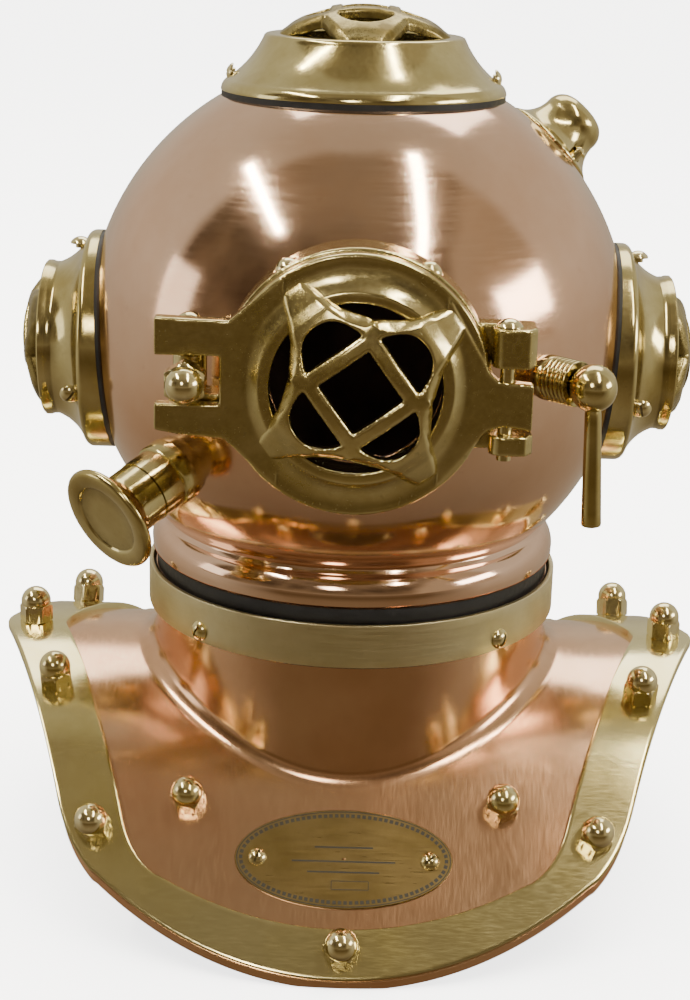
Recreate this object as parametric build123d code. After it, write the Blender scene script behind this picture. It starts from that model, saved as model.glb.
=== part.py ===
from build123d import *
from math import asin, cos, pi, radians, sin, sqrt, tan
import os

# Miniature deep-sea diving helmet ornament, copper and brass.
# Millimetres. +Z is up, the front window faces -Y, and the ornament stands on Z = 0.

os.makedirs("parts", exist_ok=True)

# ---- driving dimensions -------------------------------------------------------------
# copper bonnet
sphere_r = 63.0
sphere_z = 128.0
copper_wall = 1.2
sphere_end_z = 84.0
waist_r = 45.6
waist_z = 83.0
roll_r = 48.3
roll_top_z = 77.5
roll_end_z = 75.5
bonnet_neck_r = 45.6
bonnet_neck_z = 72.0

# breastplate: a sheet bent over the shoulders as an arch about the X direction
ridge_z = 53.0
arch_r = 75.0
arch_half_angle = 46.5
strap_wall = 1.6
neck_r = 47.4
neck_top_z = 71.5
neck_flare_r = 5.5

# outlines seen from above: shoulder tip, corner and front of the sheet and of the strap
shoulder_x = 85.0
corner_x = 62.0
corner_y = 60.0
front_y = 80.0
inner_shoulder_x = 70.5
inner_corner_x = 47.5
inner_corner_y = 62.0
inner_front_y = 72.4

# brass collar band and the black ring above it
band_r = 49.2
band_wall = 1.2
band_low_z = 62.2
band_top_z = 72.3
band_screw_z = 64.9
band_screw_angle = 44.0

# M4 studs and acorn nuts on the breastplate, M3 screws elsewhere
stud_r = 1.95
nut_bore_r = 2.0
nut_flat = 7.0
nut_hex_h = 4.3
nut_dome_r = 3.6
nut_h = 8.6
rim_nut_places = [(77.5, 0.0), (68.5, 27.0), (56.0, 57.5), (0.0, 75.6)]
bib_nut_place = (35.3, 52.5)
screw_head_r = 2.35
screw_head_h = 1.6
screw_shank_r = 1.25

# windows: heights of their centres, and the size of each flange
side_window_z = 124.5
front_window_z = 131.5
front_face = 66.5
door_r = 27.0
door_hole_r = 17.4
door_back_gap = 0.5

# door hinge on the right, latch on the left
hinge_x = 30.3
hinge_y = -68.7
hinge_pin_r = 1.5
running_gap = 0.05
latch_x = -34.0
latch_y = -61.5
latch_z = front_window_z + 0.7
latch_nut_flat = 8.0

# fittings on the bonnet, as directions from the centre of the sphere
spigot_way = (-0.625, -0.69, -0.36)
valve_way = (0.65, -0.76, 0.02)
exhaust_way = (0.70, 0.20, 0.685)

centre = (0, 0, sphere_z)
far = 200.0


# ---- helpers ------------------------------------------------------------------------
def turned(*edges):
    """Solid of revolution about Z from profile edges drawn as (radius, height)."""
    profile = make_face([Plane.XZ * edge for edge in edges])
    return revolve(profile, Axis.Z)


def turned_polygon(*points):
    return turned(Polyline(*points, close=True))


def rod(radius, low, high):
    return Pos(0, 0, (low + high) / 2) * Cylinder(radius, high - low)


def ring(outer, inner, low, high):
    return rod(outer, low, high) - rod(inner, low - 1, high + 1)


def ball(radius):
    return Sphere(radius)


def facing(direction, origin=centre, up=(0, 0, 1)):
    """Plane whose Z points along direction and whose Y points up as far as it can."""
    out = Vector(*direction).normalized()
    across = Vector(*up).cross(out)
    if across.length < 0.01:
        across = Vector(1, 0, 0)
    return Plane(origin=origin, x_dir=across, z_dir=out)


def around(angles, shape):
    return [Rot(0, 0, angle) * shape for angle in angles]


def save(name, *shapes):
    solids = [solid for shape in shapes for solid in shape.solids()]
    shape = solids[0] if len(solids) == 1 else Compound(children=solids)
    export_step(shape, f"parts/{name}.step")


# ---- fasteners, each built standing on Z = 0 ---------------------------------------
def acorn_nut(flat, hex_h, dome_r, height, bore_r):
    across_corners = flat / cos(pi / 6)
    prism = extrude(RegularPolygon(across_corners / 2, 6), hex_h)
    bevel = turned_polygon(
        (0, 0),
        (across_corners / 2 - 0.3, 0),
        (across_corners / 2, 0.3),
        (across_corners / 2, hex_h - 0.6),
        (dome_r, hex_h),
        (0, hex_h),
    )
    stem = rod(dome_r, hex_h - 0.05, height - dome_r)
    dome = Pos(0, 0, height - dome_r) * ball(dome_r)
    return (prism & bevel) + stem + dome - rod(bore_r, -1, height - 2)


def slotted_screw(head_r, head_h, shank_r, shank_length):
    """Round slotted head above Z = 0, shank below it."""
    dome_r = (head_r**2 + head_h**2) / (2 * head_h)
    dome = Pos(0, 0, head_h - dome_r) * ball(dome_r)
    head = dome & rod(head_r, 0, head_h + 1)
    slot = Pos(0, 0, head_h) * Box(3 * head_r, 0.22 * head_r, head_h)
    return head - slot + rod(shank_r, -shank_length, 0.2)


# ---- breastplate --------------------------------------------------------------------
half_angle = radians(arch_half_angle)
arch_z = ridge_z - arch_r


def arch_block(radius):
    """Everything under an arch of this radius, as a long prism along X."""
    run = 60.0
    y = radius * sin(half_angle)
    z = arch_z + radius * cos(half_angle)
    low_y = y + run * cos(half_angle)
    low_z = z - run * sin(half_angle)
    outline = [
        Line((-low_y, low_z), (-y, z)),
        ThreePointArc((-y, z), (0, arch_z + radius), (y, z)),
        Line((y, z), (low_y, low_z)),
        Line((low_y, low_z), (-low_y, low_z)),
    ]
    return extrude(make_face([Plane.YZ * edge for edge in outline]), far, both=True)


def plan_block(tip_x, side_x, side_y, end_y, tip_round, corner_round):
    """Vertical prism with the breastplate's outline seen from above."""
    edges = []
    for way in (-1, 1):
        edges.append(Line((-tip_x, 0), (-side_x, way * side_y)))
        edges.append(ThreePointArc((-side_x, way * side_y), (0, way * end_y), (side_x, way * side_y)))
        edges.append(Line((side_x, way * side_y), (tip_x, 0)))
    outline = make_face(edges)
    tips = [v for v in outline.vertices() if abs(v.Y) < 1]
    corners = [v for v in outline.vertices() if abs(v.Y) > 1]
    outline = fillet(tips, tip_round)
    outline = fillet([v for v in outline.vertices() if near_any(v, corners)], corner_round)
    return extrude(outline, far)


def near_any(vertex, others):
    return any((Vector(vertex) - Vector(other)).length < 0.5 for other in others)


def on_arch(x, y, depth=0.0):
    """Plane on the arch, this far under the strap's top face, Z along the outward normal."""
    turn = min(asin(min(abs(y) / arch_r, 1.0)), half_angle)
    way = 1 if y > 0 else -1
    side = arch_r * sin(half_angle)
    top = arch_z + arch_r * cos(turn)
    beyond = max(abs(y) - side, 0.0)
    top -= beyond * tan(half_angle)
    out = Vector(0, way * sin(turn), cos(turn))
    foot = Vector(x, y, top) - out * depth
    return Plane(origin=foot, x_dir=(1, 0, 0), z_dir=out)


def mirrored_places(places):
    found = []
    for x, y in places:
        for px in {x, -x}:
            for py in {y, -y}:
                found.append((px, py))
    return sorted(found)


rim_places = mirrored_places(rim_nut_places)
bib_places = mirrored_places([bib_nut_place])

outer_plan = plan_block(shoulder_x, corner_x, corner_y, front_y, 9.0, 25.0)
inner_plan = plan_block(
    inner_shoulder_x, inner_corner_x, inner_corner_y, inner_front_y, 8.0, 16.0
)
sheet_top_r = arch_r - strap_wall
sheet_low_r = sheet_top_r - copper_wall

# one shape for the solid outside and one for the hollow inside keeps the wall even
neck_outside = rod(neck_r, ridge_z - 35, neck_top_z)
outside = arch_block(sheet_top_r) + neck_outside
crease = [
    edge
    for edge in outside.edges()
    if edge.bounding_box().size.X < 2 * neck_r + 1
    and edge.bounding_box().max.Z < ridge_z
    and edge.bounding_box().min.Z > arch_z + 40
    and edge.bounding_box().size.Y > neck_r
]
outside = fillet(crease, neck_flare_r)
inside = arch_block(sheet_low_r) + rod(neck_r - copper_wall, ridge_z - 40, neck_top_z + 1)
stud_holes = [on_arch(x, y) * rod(stud_r + 0.1, -9, 9) for x, y in rim_places + bib_places]
plate_y = -61.5
plate_screw_x = 19.2
plate_holes = [
    on_arch(x, plate_y) * rod(screw_shank_r, -9, 9) for x in (-plate_screw_x, plate_screw_x)
]
breastplate = (outside & outer_plan) - inside
for hole in stud_holes + plate_holes:
    breastplate -= hole

strap = (arch_block(arch_r) - arch_block(sheet_top_r)) & (outer_plan - inner_plan)
for hole in stud_holes:
    strap -= hole
save("rim_strap", strap)

nut = acorn_nut(nut_flat, nut_hex_h, nut_dome_r, nut_h, nut_bore_r)
stud_head_r = 3.4
stud_head_h = 1.2
stud_top = nut_h - 2.4


def stud(depth):
    """Stud with a flat head under the sheet, for metal of this thickness above it."""
    under = -depth - 0.12
    return rod(stud_r, under, stud_top) + rod(stud_head_r, under - stud_head_h, under)


save("rim_nuts", *[on_arch(x, y) * nut for x, y in rim_places])
save("rim_studs", *[on_arch(x, y) * stud(strap_wall + copper_wall) for x, y in rim_places])
save("bib_nuts", *[on_arch(x, y, strap_wall) * nut for x, y in bib_places])
save("bib_studs", *[on_arch(x, y, strap_wall) * stud(copper_wall) for x, y in bib_places])

# oval plate on the sloping front, held by two screws
plate_half_w = 24.2
plate_half_h = 11.2
plate_wall = 0.6
plate_plane = on_arch(0, plate_y, strap_wall)
plate = extrude(Ellipse(plate_half_w, plate_half_h), plate_wall)
for x in (-plate_screw_x, plate_screw_x):
    plate -= Pos(x, 0, 0) * rod(screw_shank_r, -1, 1)
save("name_plate", plate_plane * plate)
plate_screw = slotted_screw(2.1, 1.4, screw_shank_r, copper_wall + plate_wall + 0.8)
save(
    "name_plate_screws",
    *[
        plate_plane * Pos(x, 0, plate_wall) * Rot(0, 0, turn) * plate_screw
        for x, turn in ((-plate_screw_x, 70), (plate_screw_x, 40))
    ],
)

# ---- collar -------------------------------------------------------------------------
band = ring(band_r, band_r - band_wall, band_low_z, band_top_z)
band_screw_angles = [
    -90 - band_screw_angle,
    -90 + band_screw_angle,
    90 - band_screw_angle,
    90 + band_screw_angle,
]
band_screw_hole = Pos(0, 0, band_screw_z) * Rot(0, 90, 0) * rod(screw_shank_r, neck_r - 3, band_r + 3)
for hole in around(band_screw_angles, band_screw_hole):
    band -= hole
    breastplate -= hole
save("breastplate", breastplate)
save("collar_band", band)
band_screw = slotted_screw(screw_head_r, screw_head_h, screw_shank_r, band_r - neck_r + 1.6)
seated = Pos(band_r, 0, band_screw_z) * Rot(0, 90, 0) * Rot(0, 0, 50) * band_screw
save("collar_screws", *around(band_screw_angles, seated))

# black ring that seals the bonnet on the neck
collar_seal_r = 47.2
collar_seal = ring(collar_seal_r, bonnet_neck_r, neck_top_z, roll_end_z)
save("collar_seal", collar_seal)

# ---- bonnet -------------------------------------------------------------------------
end_r = sqrt(sphere_r**2 - (sphere_z - sphere_end_z) ** 2)
inner_r = sphere_r - copper_wall
inner_end_z = sphere_z - sqrt(inner_r**2 - (bonnet_neck_r - copper_wall) ** 2)
top_z = sphere_z + sphere_r


def sphere_arc(radius, low):
    """Arc of a sphere profile from the height low up to the pole."""
    start = (sqrt(radius**2 - (sphere_z - low) ** 2), low)
    middle = (radius, sphere_z)
    return ThreePointArc(start, middle, (0, sphere_z + radius))


bonnet = turned(
    sphere_arc(sphere_r, sphere_end_z),
    Line((0, top_z), (0, sphere_z + inner_r)),
    sphere_arc(inner_r, inner_end_z),
    Line((bonnet_neck_r - copper_wall, inner_end_z), (bonnet_neck_r - copper_wall, bonnet_neck_z)),
    Line((bonnet_neck_r - copper_wall, bonnet_neck_z), (bonnet_neck_r, bonnet_neck_z)),
    Line((bonnet_neck_r, bonnet_neck_z), (bonnet_neck_r, roll_end_z)),
    Line((bonnet_neck_r, roll_end_z), (roll_r - 0.6, roll_end_z)),
    Line((roll_r - 0.6, roll_end_z), (roll_r, roll_top_z)),
    ThreePointArc((roll_r, roll_top_z), (47.7, 80.6), (waist_r, waist_z)),
    Line((waist_r, waist_z), (end_r, sphere_end_z)),
)

front_plane = facing((0, -1, 0), (0, 0, front_window_z))
left_plane = facing((-1, 0, 0), (0, 0, side_window_z))
right_plane = facing((1, 0, 0), (0, 0, side_window_z))
top_plane = facing((0, 0, 1))
side_hole_r = 15.5
top_hole_r = 18.5
frame_hole_r = 18.0
bonnet -= front_plane * rod(frame_hole_r, 30, 90)
bonnet -= left_plane * rod(side_hole_r, 30, 90)
bonnet -= right_plane * rod(side_hole_r, 30, 90)
bonnet -= top_plane * rod(top_hole_r, 30, 90)
save("bonnet", bonnet)


# ---- grilles ------------------------------------------------------------------------
def lobe(valley, bulge, taper, tip):
    """One lobe along +X: from the valley beside it, round its opening, to its flat tip."""
    reach, tip_half = tip
    upper = Spline((valley, valley), bulge, taper, (reach - 1.1, tip_half))
    corner = 0.9
    end = Polyline(
        (reach - 1.1, tip_half), (reach, tip_half - corner), (reach, corner - tip_half), (reach - 1.1, -tip_half)
    )
    lower = Spline((reach - 1.1, -tip_half), (taper[0], -taper[1]), (bulge[0], -bulge[1]), (valley, -valley))
    back = Polyline((valley, -valley), (0, -valley), (0, valley), (valley, valley))
    return make_face([upper, end, lower, back])


def grille(outline, rise, wall, bars, opening_r, turn):
    """Domed guard of four lobes, with a square opening in the middle and one in each lobe."""
    face = lobe(*outline)
    plan = face
    for angle in (90, 180, 270):
        plan += Rot(0, 0, angle) * face
    bar_inner, bar_outer = bars
    plan -= Rectangle(2 * bar_inner, 2 * bar_inner)
    half_disc = Circle(opening_r) & (Pos(far / 2, 0) * Rectangle(far, far))
    for angle in (0, 90, 180, 270):
        plan -= Rot(0, 0, angle) * Pos(bar_outer, 0) * half_disc
    reach = outline[-1][0]
    dome_r = (reach**2 + rise**2) / (2 * rise)
    dome = Pos(0, 0, rise - dome_r) * (ball(dome_r) - ball(dome_r - wall))
    return Rot(0, 0, turn) * (extrude(plan, rise + 1) & dome)


# outlines as (valley, widest point, point on the taper, (reach, half width of the tip))
front_lobe = (9.9, (12.0, 8.6), (18.1, 5.5), (24.9, 3.3))
side_lobe = (8.2, (10.0, 7.4), (13.6, 5.6), (17.4, 4.0))
top_lobe = (9.4, (11.6, 8.4), (15.6, 6.8), (19.8, 5.0))


def conforming(outer, inner, low_r, high_r, plane):
    """Ring between two spheres about the bonnet's centre, seen along a window's axis."""
    layer = Pos(*centre) * (ball(high_r) - ball(low_r))
    return layer & (plane * ring(outer, inner, 20, 90))


# ---- side windows -------------------------------------------------------------------
side_seal = 0.7
side_flange_r = 25.5
side_rim_face = 73.0


def side_flange():
    """Turned flange: edge, hollow flare, neck and lip, as (radius, distance from centre)."""
    return turned(
        Line((side_hole_r, 54), (side_flange_r, 54)),
        Line((side_flange_r, 54), (side_flange_r, 61.4)),
        ThreePointArc((side_flange_r, 61.4), (25.2, 62.4), (24.2, 63.1)),
        ThreePointArc((24.2, 63.1), (20.3, 66.0), (17.9, 70.0)),
        Line((17.9, 70.0), (18.2, side_rim_face)),
        Line((18.2, side_rim_face), (side_hole_r, side_rim_face)),
        Line((side_hole_r, side_rim_face), (side_hole_r, 54)),
    )


seal_top = sphere_r + side_seal
side_screw_out = 64.9
side_screw_r = 22.5
side_screw = slotted_screw(2.4, 1.6, screw_shank_r, 5)
side_screws_at = [90, 90 - 112, 90 + 112]
for name, plane in (("left", left_plane), ("right", right_plane)):
    flange = plane * side_flange() - Pos(*centre) * ball(seal_top)
    holes = around(
        side_screws_at, Pos(0, 0, side_screw_out) * Rot(0, 90, 0) * rod(screw_shank_r, 17.2, 40)
    )
    seats = around(
        side_screws_at, Pos(0, 0, side_screw_out) * Rot(0, 90, 0) * rod(2.5, side_screw_r, 40)
    )
    for cut in holes + seats:
        flange -= plane * cut
    save(f"{name}_flange", flange)
    save(f"{name}_seal", conforming(side_flange_r - 0.2, side_hole_r + 5, sphere_r, seal_top, plane))
    guard = grille(side_lobe, 5.6, 2.4, (4.9, 7.0), 5.2, 36)
    save(f"{name}_grille", plane * Pos(0, 0, side_rim_face) * guard)
    screw = Pos(side_screw_r, 0, side_screw_out) * Rot(0, 90, 0) * Rot(0, 0, 35) * side_screw
    save(f"{name}_screws", *[plane * one for one in around(side_screws_at, screw)])

# ---- top window ---------------------------------------------------------------------
top_seal = 1.2
top_flange_r = 32.4
top_rim_r = 22.0
top_low = 50.0
top_edge = 56.6
top_rim_face = 67.9
top_flange = turned(
    Line((top_hole_r, top_low), (top_flange_r, top_low)),
    Line((top_flange_r, top_low), (top_flange_r, top_edge - 1)),
    ThreePointArc((top_flange_r, top_edge - 1), (31.9, 57.0), (30.8, 57.9)),
    ThreePointArc((30.8, 57.9), (25.7, 62.6), (22.9, 67.0)),
    ThreePointArc((22.9, 67.0), (22.6, 67.6), (top_rim_r, top_rim_face)),
    Line((top_rim_r, top_rim_face), (top_hole_r, top_rim_face)),
    Line((top_hole_r, top_rim_face), (top_hole_r, top_low)),
)
top_flange = top_plane * top_flange - Pos(*centre) * ball(sphere_r + top_seal)
top_screws_at = [0, 90, 180]
top_screw_out = 58.8
top_screw_seat = 29.9
top_screw_way = Pos(0, 0, top_screw_out) * Rot(0, 90, 0)
for bore in (rod(screw_shank_r, 24, 40), rod(2.2, top_screw_seat, 40)):
    for cut in around(top_screws_at, top_screw_way * bore):
        top_flange -= top_plane * cut
save("top_flange", top_flange)
save("top_seal", conforming(top_flange_r - 0.1, top_hole_r + 7, sphere_r, sphere_r + top_seal, top_plane))
save("top_grille", top_plane * Pos(0, 0, top_rim_face) * grille(top_lobe, 7.1, 2.4, (5.3, 7.7), 6.2, 0))
top_screw = Pos(top_screw_seat, 0, top_screw_out) * Rot(0, 90, 0) * Rot(0, 0, 25)
top_screw = top_screw * slotted_screw(2.1, 1.4, screw_shank_r, 1)
save("top_screws", *[top_plane * one for one in around(top_screws_at, top_screw)])

# ---- front window frame -------------------------------------------------------------
# local frame of the front window: X right, Y up, Z out of the window
frame_r = 27.5
front_seal = 0.5
lug_back = 60.0
pin_out = -hinge_y
latch_out = -latch_y
latch_up = latch_z - front_window_z


def plan_lug(points, low, high):
    """Lug drawn as (X, distance out) and running between two heights."""
    face = make_face([Plane.XZ * Polyline(*points, close=True)])
    return Pos(0, low, 0) * extrude(face, high - low, dir=(0, 1, 0))


def hinge_lug(low, high):
    nose = 3.3
    block = plan_lug(
        [
            (20, lug_back),
            (36.0, lug_back + 1.5),
            (36.0, pin_out + 0.6),
            (34.4, pin_out + nose - 0.4),
            (hinge_x, pin_out + nose),
            (hinge_x, front_face - 0.6),
            (20, front_face - 0.6),
        ],
        low,
        high,
    )
    eye = Pos(hinge_x, (low + high) / 2, pin_out) * Rot(90, 0, 0) * Cylinder(nose, high - low)
    return block + eye


def latch_lug(low, high):
    block = plan_lug(
        [
            (-20, 58.0),
            (latch_x, 57.6),
            (-38.2, 60.0),
            (-38.2, 64.6),
            (-37.0, 65.7),
            (-20, 65.7),
        ],
        low,
        high,
    )
    return block


def upright(x, out, radius, low, high):
    """Vertical pin or hole in the front window's local frame."""
    return Pos(x, (low + high) / 2, out) * Rot(90, 0, 0) * Cylinder(radius, high - low)


hinge_top = 12.8
hinge_upper_low = 4.8
hinge_lower_top = -9.2
hinge_bottom = -13.2
latch_top = latch_up + 10.4
latch_upper_low = latch_up + 4.0
latch_lower_top = latch_up - 4.0
latch_bottom = latch_up - 8.6

frame = ring(frame_r, frame_hole_r, 45, front_face)
frame += hinge_lug(hinge_upper_low, hinge_top) - rod(frame_hole_r, 40, 90)
frame += hinge_lug(hinge_bottom, hinge_lower_top) - rod(frame_hole_r, 40, 90)
frame += latch_lug(latch_upper_low, latch_top) - rod(frame_hole_r, 40, 90)
frame += latch_lug(latch_bottom, latch_lower_top) - rod(frame_hole_r, 40, 90)
frame -= upright(hinge_x, pin_out, hinge_pin_r, hinge_bottom - 1, hinge_top + 1)
frame -= upright(latch_x, latch_out, hinge_pin_r, latch_bottom - 1, latch_top + 1)
frame_screws_at = [90 - 33, 90 + 33, 270 - 31, 270 + 31]
frame_screw_out = 62.3
frame_screw_seat = frame_r - 0.4
frame_screw_way = Pos(0, 0, frame_screw_out) * Rot(0, 90, 0)
for bore in (rod(screw_shank_r, 22, 40), rod(2.7, frame_screw_seat, 40)):
    for cut in around(frame_screws_at, frame_screw_way * bore):
        frame -= cut
frame = front_plane * frame - Pos(*centre) * ball(sphere_r + front_seal)
save("front_frame", frame)
save(
    "front_seal",
    conforming(frame_r - 0.3, frame_hole_r + 4, sphere_r, sphere_r + front_seal, front_plane),
)
frame_screw = Pos(frame_screw_seat, 0, frame_screw_out) * Rot(0, 90, 0) * Rot(0, 0, 20)
frame_screw = frame_screw * slotted_screw(screw_head_r, screw_head_h, screw_shank_r, 4.5)
save("front_frame_screws", *[front_plane * one for one in around(frame_screws_at, frame_screw)])

# ---- front door ---------------------------------------------------------------------
door_back = front_face + door_back_gap
door_edge = front_face + 3.8
door_rim = front_face + 5.8
slot_half = 5.0
slot_end = -27.4
fork_end = -40.4
disc = turned(
    Line((0, door_back), (door_r, door_back)),
    Line((door_r, door_back), (door_r, door_edge - 0.6)),
    ThreePointArc((door_r, door_edge - 0.6), (26.8, door_edge - 0.15), (26.2, door_edge)),
    ThreePointArc((26.2, door_edge), (22.4, door_edge + 0.35), (19.6, door_rim)),
    Line((19.6, door_rim), (0, door_rim)),
    Line((0, door_rim), (0, door_back)),
)
arm_points = [
    (-15.0, 22.0),
    (-25.6, 12.9),
    (fork_end, 13.4),
    (fork_end - 0.2, -9.8),
    (-36.0, -10.6),
    (-26.4, -11.4),
    (-16.0, -21.0),
]
tongue_points = [
    (18.0, 18.5),
    (26.3, 4.2),
    (28.6, 1.9),
    (35.6, 1.3),
    (35.6, -8.2),
    (30.0, -7.4),
    (26.6, -8.3),
    (17.0, -20.0),
]
arm_wall = 3.6
arms = extrude(make_face(Polyline(*arm_points, close=True)), arm_wall)
tongue = extrude(make_face(Polyline(*tongue_points, close=True)), arm_wall)
slot = Pos(slot_end - far / 2, latch_up, 0) * Box(far, 2 * slot_half, far)
door = disc + Pos(0, 0, door_back) * arms + Pos(0, 0, door_back) * tongue
door -= slot
door -= rod(door_hole_r, 40, 90)
door -= upright(hinge_x, pin_out, hinge_pin_r + running_gap, -20, 20)
save("front_door", front_plane * door)

grille_shift = (1.0, 0.4)
guard_low = front_face + 4.2
guard = grille(front_lobe, 7.6, 2.6, (6.5, 8.8), 6.9, 36)
guard = Pos(grille_shift[0], grille_shift[1], guard_low) * guard - disc
guard = max(guard.solids(), key=lambda solid: solid.volume)
save("front_grille", front_plane * guard)

# hinge screw: head on the upper lug, threaded end below the lower lug
hinge_screw = slotted_screw(2.7, 1.8, hinge_pin_r, hinge_top - hinge_bottom + 1.4)
hinge_plane = facing((0, 0, 1), (hinge_x, hinge_y, front_window_z + hinge_top))
save("hinge_screw", hinge_plane * Rot(0, 0, 30) * hinge_screw)

# ---- latch --------------------------------------------------------------------------
bolt_r = 2.4
nut_seat = 9.4
eye_r = 3.5
eye_half = 3.6
latch_plane = facing((0, -1, 0), (latch_x, latch_y, latch_z))
eye = Rot(90, 0, 0) * Cylinder(eye_r, 2 * eye_half)
bolt = eye + rod(bolt_r, 0, nut_seat + 5.4)
bolt -= Rot(90, 0, 0) * Cylinder(hinge_pin_r + running_gap, 4 * eye_half)
save("latch_bolt", latch_plane * bolt)
latch_nut = acorn_nut(latch_nut_flat, 4.2, 3.8, 8.0, bolt_r + running_gap)
save("latch_nut", latch_plane * Pos(0, 0, nut_seat) * Rot(0, 0, 30) * latch_nut)
latch_pin = slotted_screw(2.7, 1.7, hinge_pin_r, latch_top - latch_bottom)
pin_plane = facing((0, 0, 1), (latch_x, latch_y, front_window_z + latch_top))
save("latch_pin", pin_plane * Rot(0, 0, -20) * latch_pin)

# ---- speaking spigot: barrel and mushroom disc --------------------------------------
spigot_plane = facing(spigot_way)
spigot_r = 7.1
barrel_end = 80.0
disc_out = 83.5
barrel = spigot_plane * turned(
    Line((0, 55), (spigot_r + 0.5, 55)),
    Line((spigot_r + 0.5, 55), (spigot_r + 0.5, 66.0)),
    Line((spigot_r + 0.5, 66.0), (spigot_r, 66.4)),
    Line((spigot_r, 66.4), (spigot_r, barrel_end - 8)),
    Line((spigot_r, barrel_end - 8), (0, barrel_end - 8)),
    Line((0, barrel_end - 8), (0, 55)),
)
save("spigot_barrel", barrel - Pos(*centre) * ball(sphere_r))
disc_r = 11.7
head = spigot_plane * turned(
    Line((0, barrel_end - 8), (spigot_r - 0.1, barrel_end - 8)),
    Line((spigot_r - 0.1, barrel_end - 8), (spigot_r - 0.1, barrel_end - 3)),
    ThreePointArc((spigot_r - 0.1, barrel_end - 3), (8.4, barrel_end + 0.4), (disc_r, barrel_end + 1.4)),
    ThreePointArc((disc_r, barrel_end + 1.4), (disc_r + 0.3, disc_out - 0.9), (disc_r - 0.5, disc_out)),
    Line((disc_r - 0.5, disc_out), (8.2, disc_out)),
    Line((8.2, disc_out), (7.7, disc_out - 0.7)),
    Line((7.7, disc_out - 0.7), (0, disc_out - 0.7)),
    Line((0, disc_out - 0.7), (0, barrel_end - 8)),
)
save("spigot_disc", head)

# ---- air valve: fixed barrel, ball and lever turning about the barrel ---------------
valve_plane = facing(valve_way)
barrel_r = 4.9
valve_end = 71.4
ball_out = 75.6
ball_r = 5.0
stem_r = 2.5
groove = 0.35
steps = [64.4, 65.6, 66.8, 68.0, 69.2, 70.4]
valve_points = [(0, 58), (barrel_r, 58), (barrel_r, steps[0] - 0.6)]
for step in steps:
    valve_points += [(barrel_r, step), (barrel_r - groove, step + 0.3), (barrel_r, step + 0.6)]
valve_points += [(barrel_r, valve_end), (0, valve_end)]
valve = valve_plane * turned_polygon(*valve_points)
valve -= Pos(*centre) * ball(sphere_r)
valve -= valve_plane * rod(stem_r + running_gap, valve_end - 4, valve_end + 1)
save("valve_barrel", valve)
ball_low = valve_end + 0.3
ball_part = Pos(0, 0, ball_out) * ball(ball_r) & rod(ball_r, ball_low, ball_out + ball_r)
ball_part += rod(stem_r, valve_end - 3.6, ball_low + 0.2)
valve_out = Vector(*valve_way).normalized()
ball_at = Vector(*centre) + valve_out * ball_out
lever_way = (0.049, 0.042, -1)
lever_plane = Plane(origin=ball_at, x_dir=valve_out.cross(Vector(0, 0, 1)), z_dir=lever_way)
lever_socket = lever_plane * rod(1.5, 2.2, ball_r + 1)
save("valve_ball", valve_plane * ball_part - lever_socket)
lever = turned_polygon(
    (0, 2.4), (1.48, 2.4), (1.48, ball_r + 0.1), (1.75, ball_r + 0.1), (2.15, 30.0), (1.9, 30.3), (0, 30.3)
)
save("valve_lever", lever_plane * lever)

# ---- exhaust cap: flared casting that follows the sphere, with a lobed top -----------
exhaust_plane = facing(exhaust_way)
cap_base_r = 12.0
cap_top_r = 7.6
cap_out = 74.2
cap = turned(
    Line((0, 55), (cap_base_r, 55)),
    Line((cap_base_r, 55), (cap_base_r, 62.6)),
    ThreePointArc((cap_base_r, 62.6), (9.0, 65.2), (cap_top_r, 69.4)),
    ThreePointArc((cap_top_r, 69.4), (6.4, 73.0), (3.4, cap_out)),
    Line((3.4, cap_out), (0, cap_out)),
    Line((0, cap_out), (0, 55)),
)
cap = exhaust_plane * cap - Pos(*centre) * ball(sphere_r)
cap_screw_way = exhaust_plane * Rot(0, 0, 200) * Pos(9.6, 0, 0)
cap -= cap_screw_way * rod(1.25, 60, 80)
cap -= cap_screw_way * rod(2.0, 65.2, 80)
save("exhaust_cap", cap)
cap_screw = slotted_screw(1.9, 1.2, 1.2, 2.2)
save("exhaust_cap_screw", cap_screw_way * Pos(0, 0, 65.2) * cap_screw)
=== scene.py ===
from math import acos, asin, atan2, cos, hypot, pi, radians, sin, sqrt, tan

import bmesh
import bpy
from mathutils import Matrix, Vector


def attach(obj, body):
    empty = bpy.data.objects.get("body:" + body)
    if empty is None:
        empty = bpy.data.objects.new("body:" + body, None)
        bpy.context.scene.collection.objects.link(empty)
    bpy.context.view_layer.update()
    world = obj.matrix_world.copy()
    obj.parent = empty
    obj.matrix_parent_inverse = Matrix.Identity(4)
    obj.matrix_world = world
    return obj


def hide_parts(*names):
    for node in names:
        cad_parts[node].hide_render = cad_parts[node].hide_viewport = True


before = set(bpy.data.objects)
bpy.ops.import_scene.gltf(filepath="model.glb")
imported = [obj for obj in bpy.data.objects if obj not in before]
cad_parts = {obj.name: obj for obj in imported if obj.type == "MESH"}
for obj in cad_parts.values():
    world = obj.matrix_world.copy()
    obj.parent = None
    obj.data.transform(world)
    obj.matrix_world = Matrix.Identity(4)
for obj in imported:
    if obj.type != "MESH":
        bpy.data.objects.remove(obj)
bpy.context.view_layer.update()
mm = 0.001

# the helmet's main places, in millimetres, as the frame has them
helmet = {
    "centre": (0.0, 0.0, 128.0),
    "sphere": 63.0,
    "wall": 1.2,
    "frontHeight": 131.5,
    "sideHeight": 124.5,
    "steps": 256,
}


# colours and materials
def tint(code):
    # sRGB hex to linear
    parts = [int(code[i:i + 2], 16) / 255 for i in (1, 3, 5)]
    return tuple(c / 12.92 if c <= 0.04045 else ((c + 0.055) / 1.055) ** 2.4 for c in parts) + (1.0,)


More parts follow.
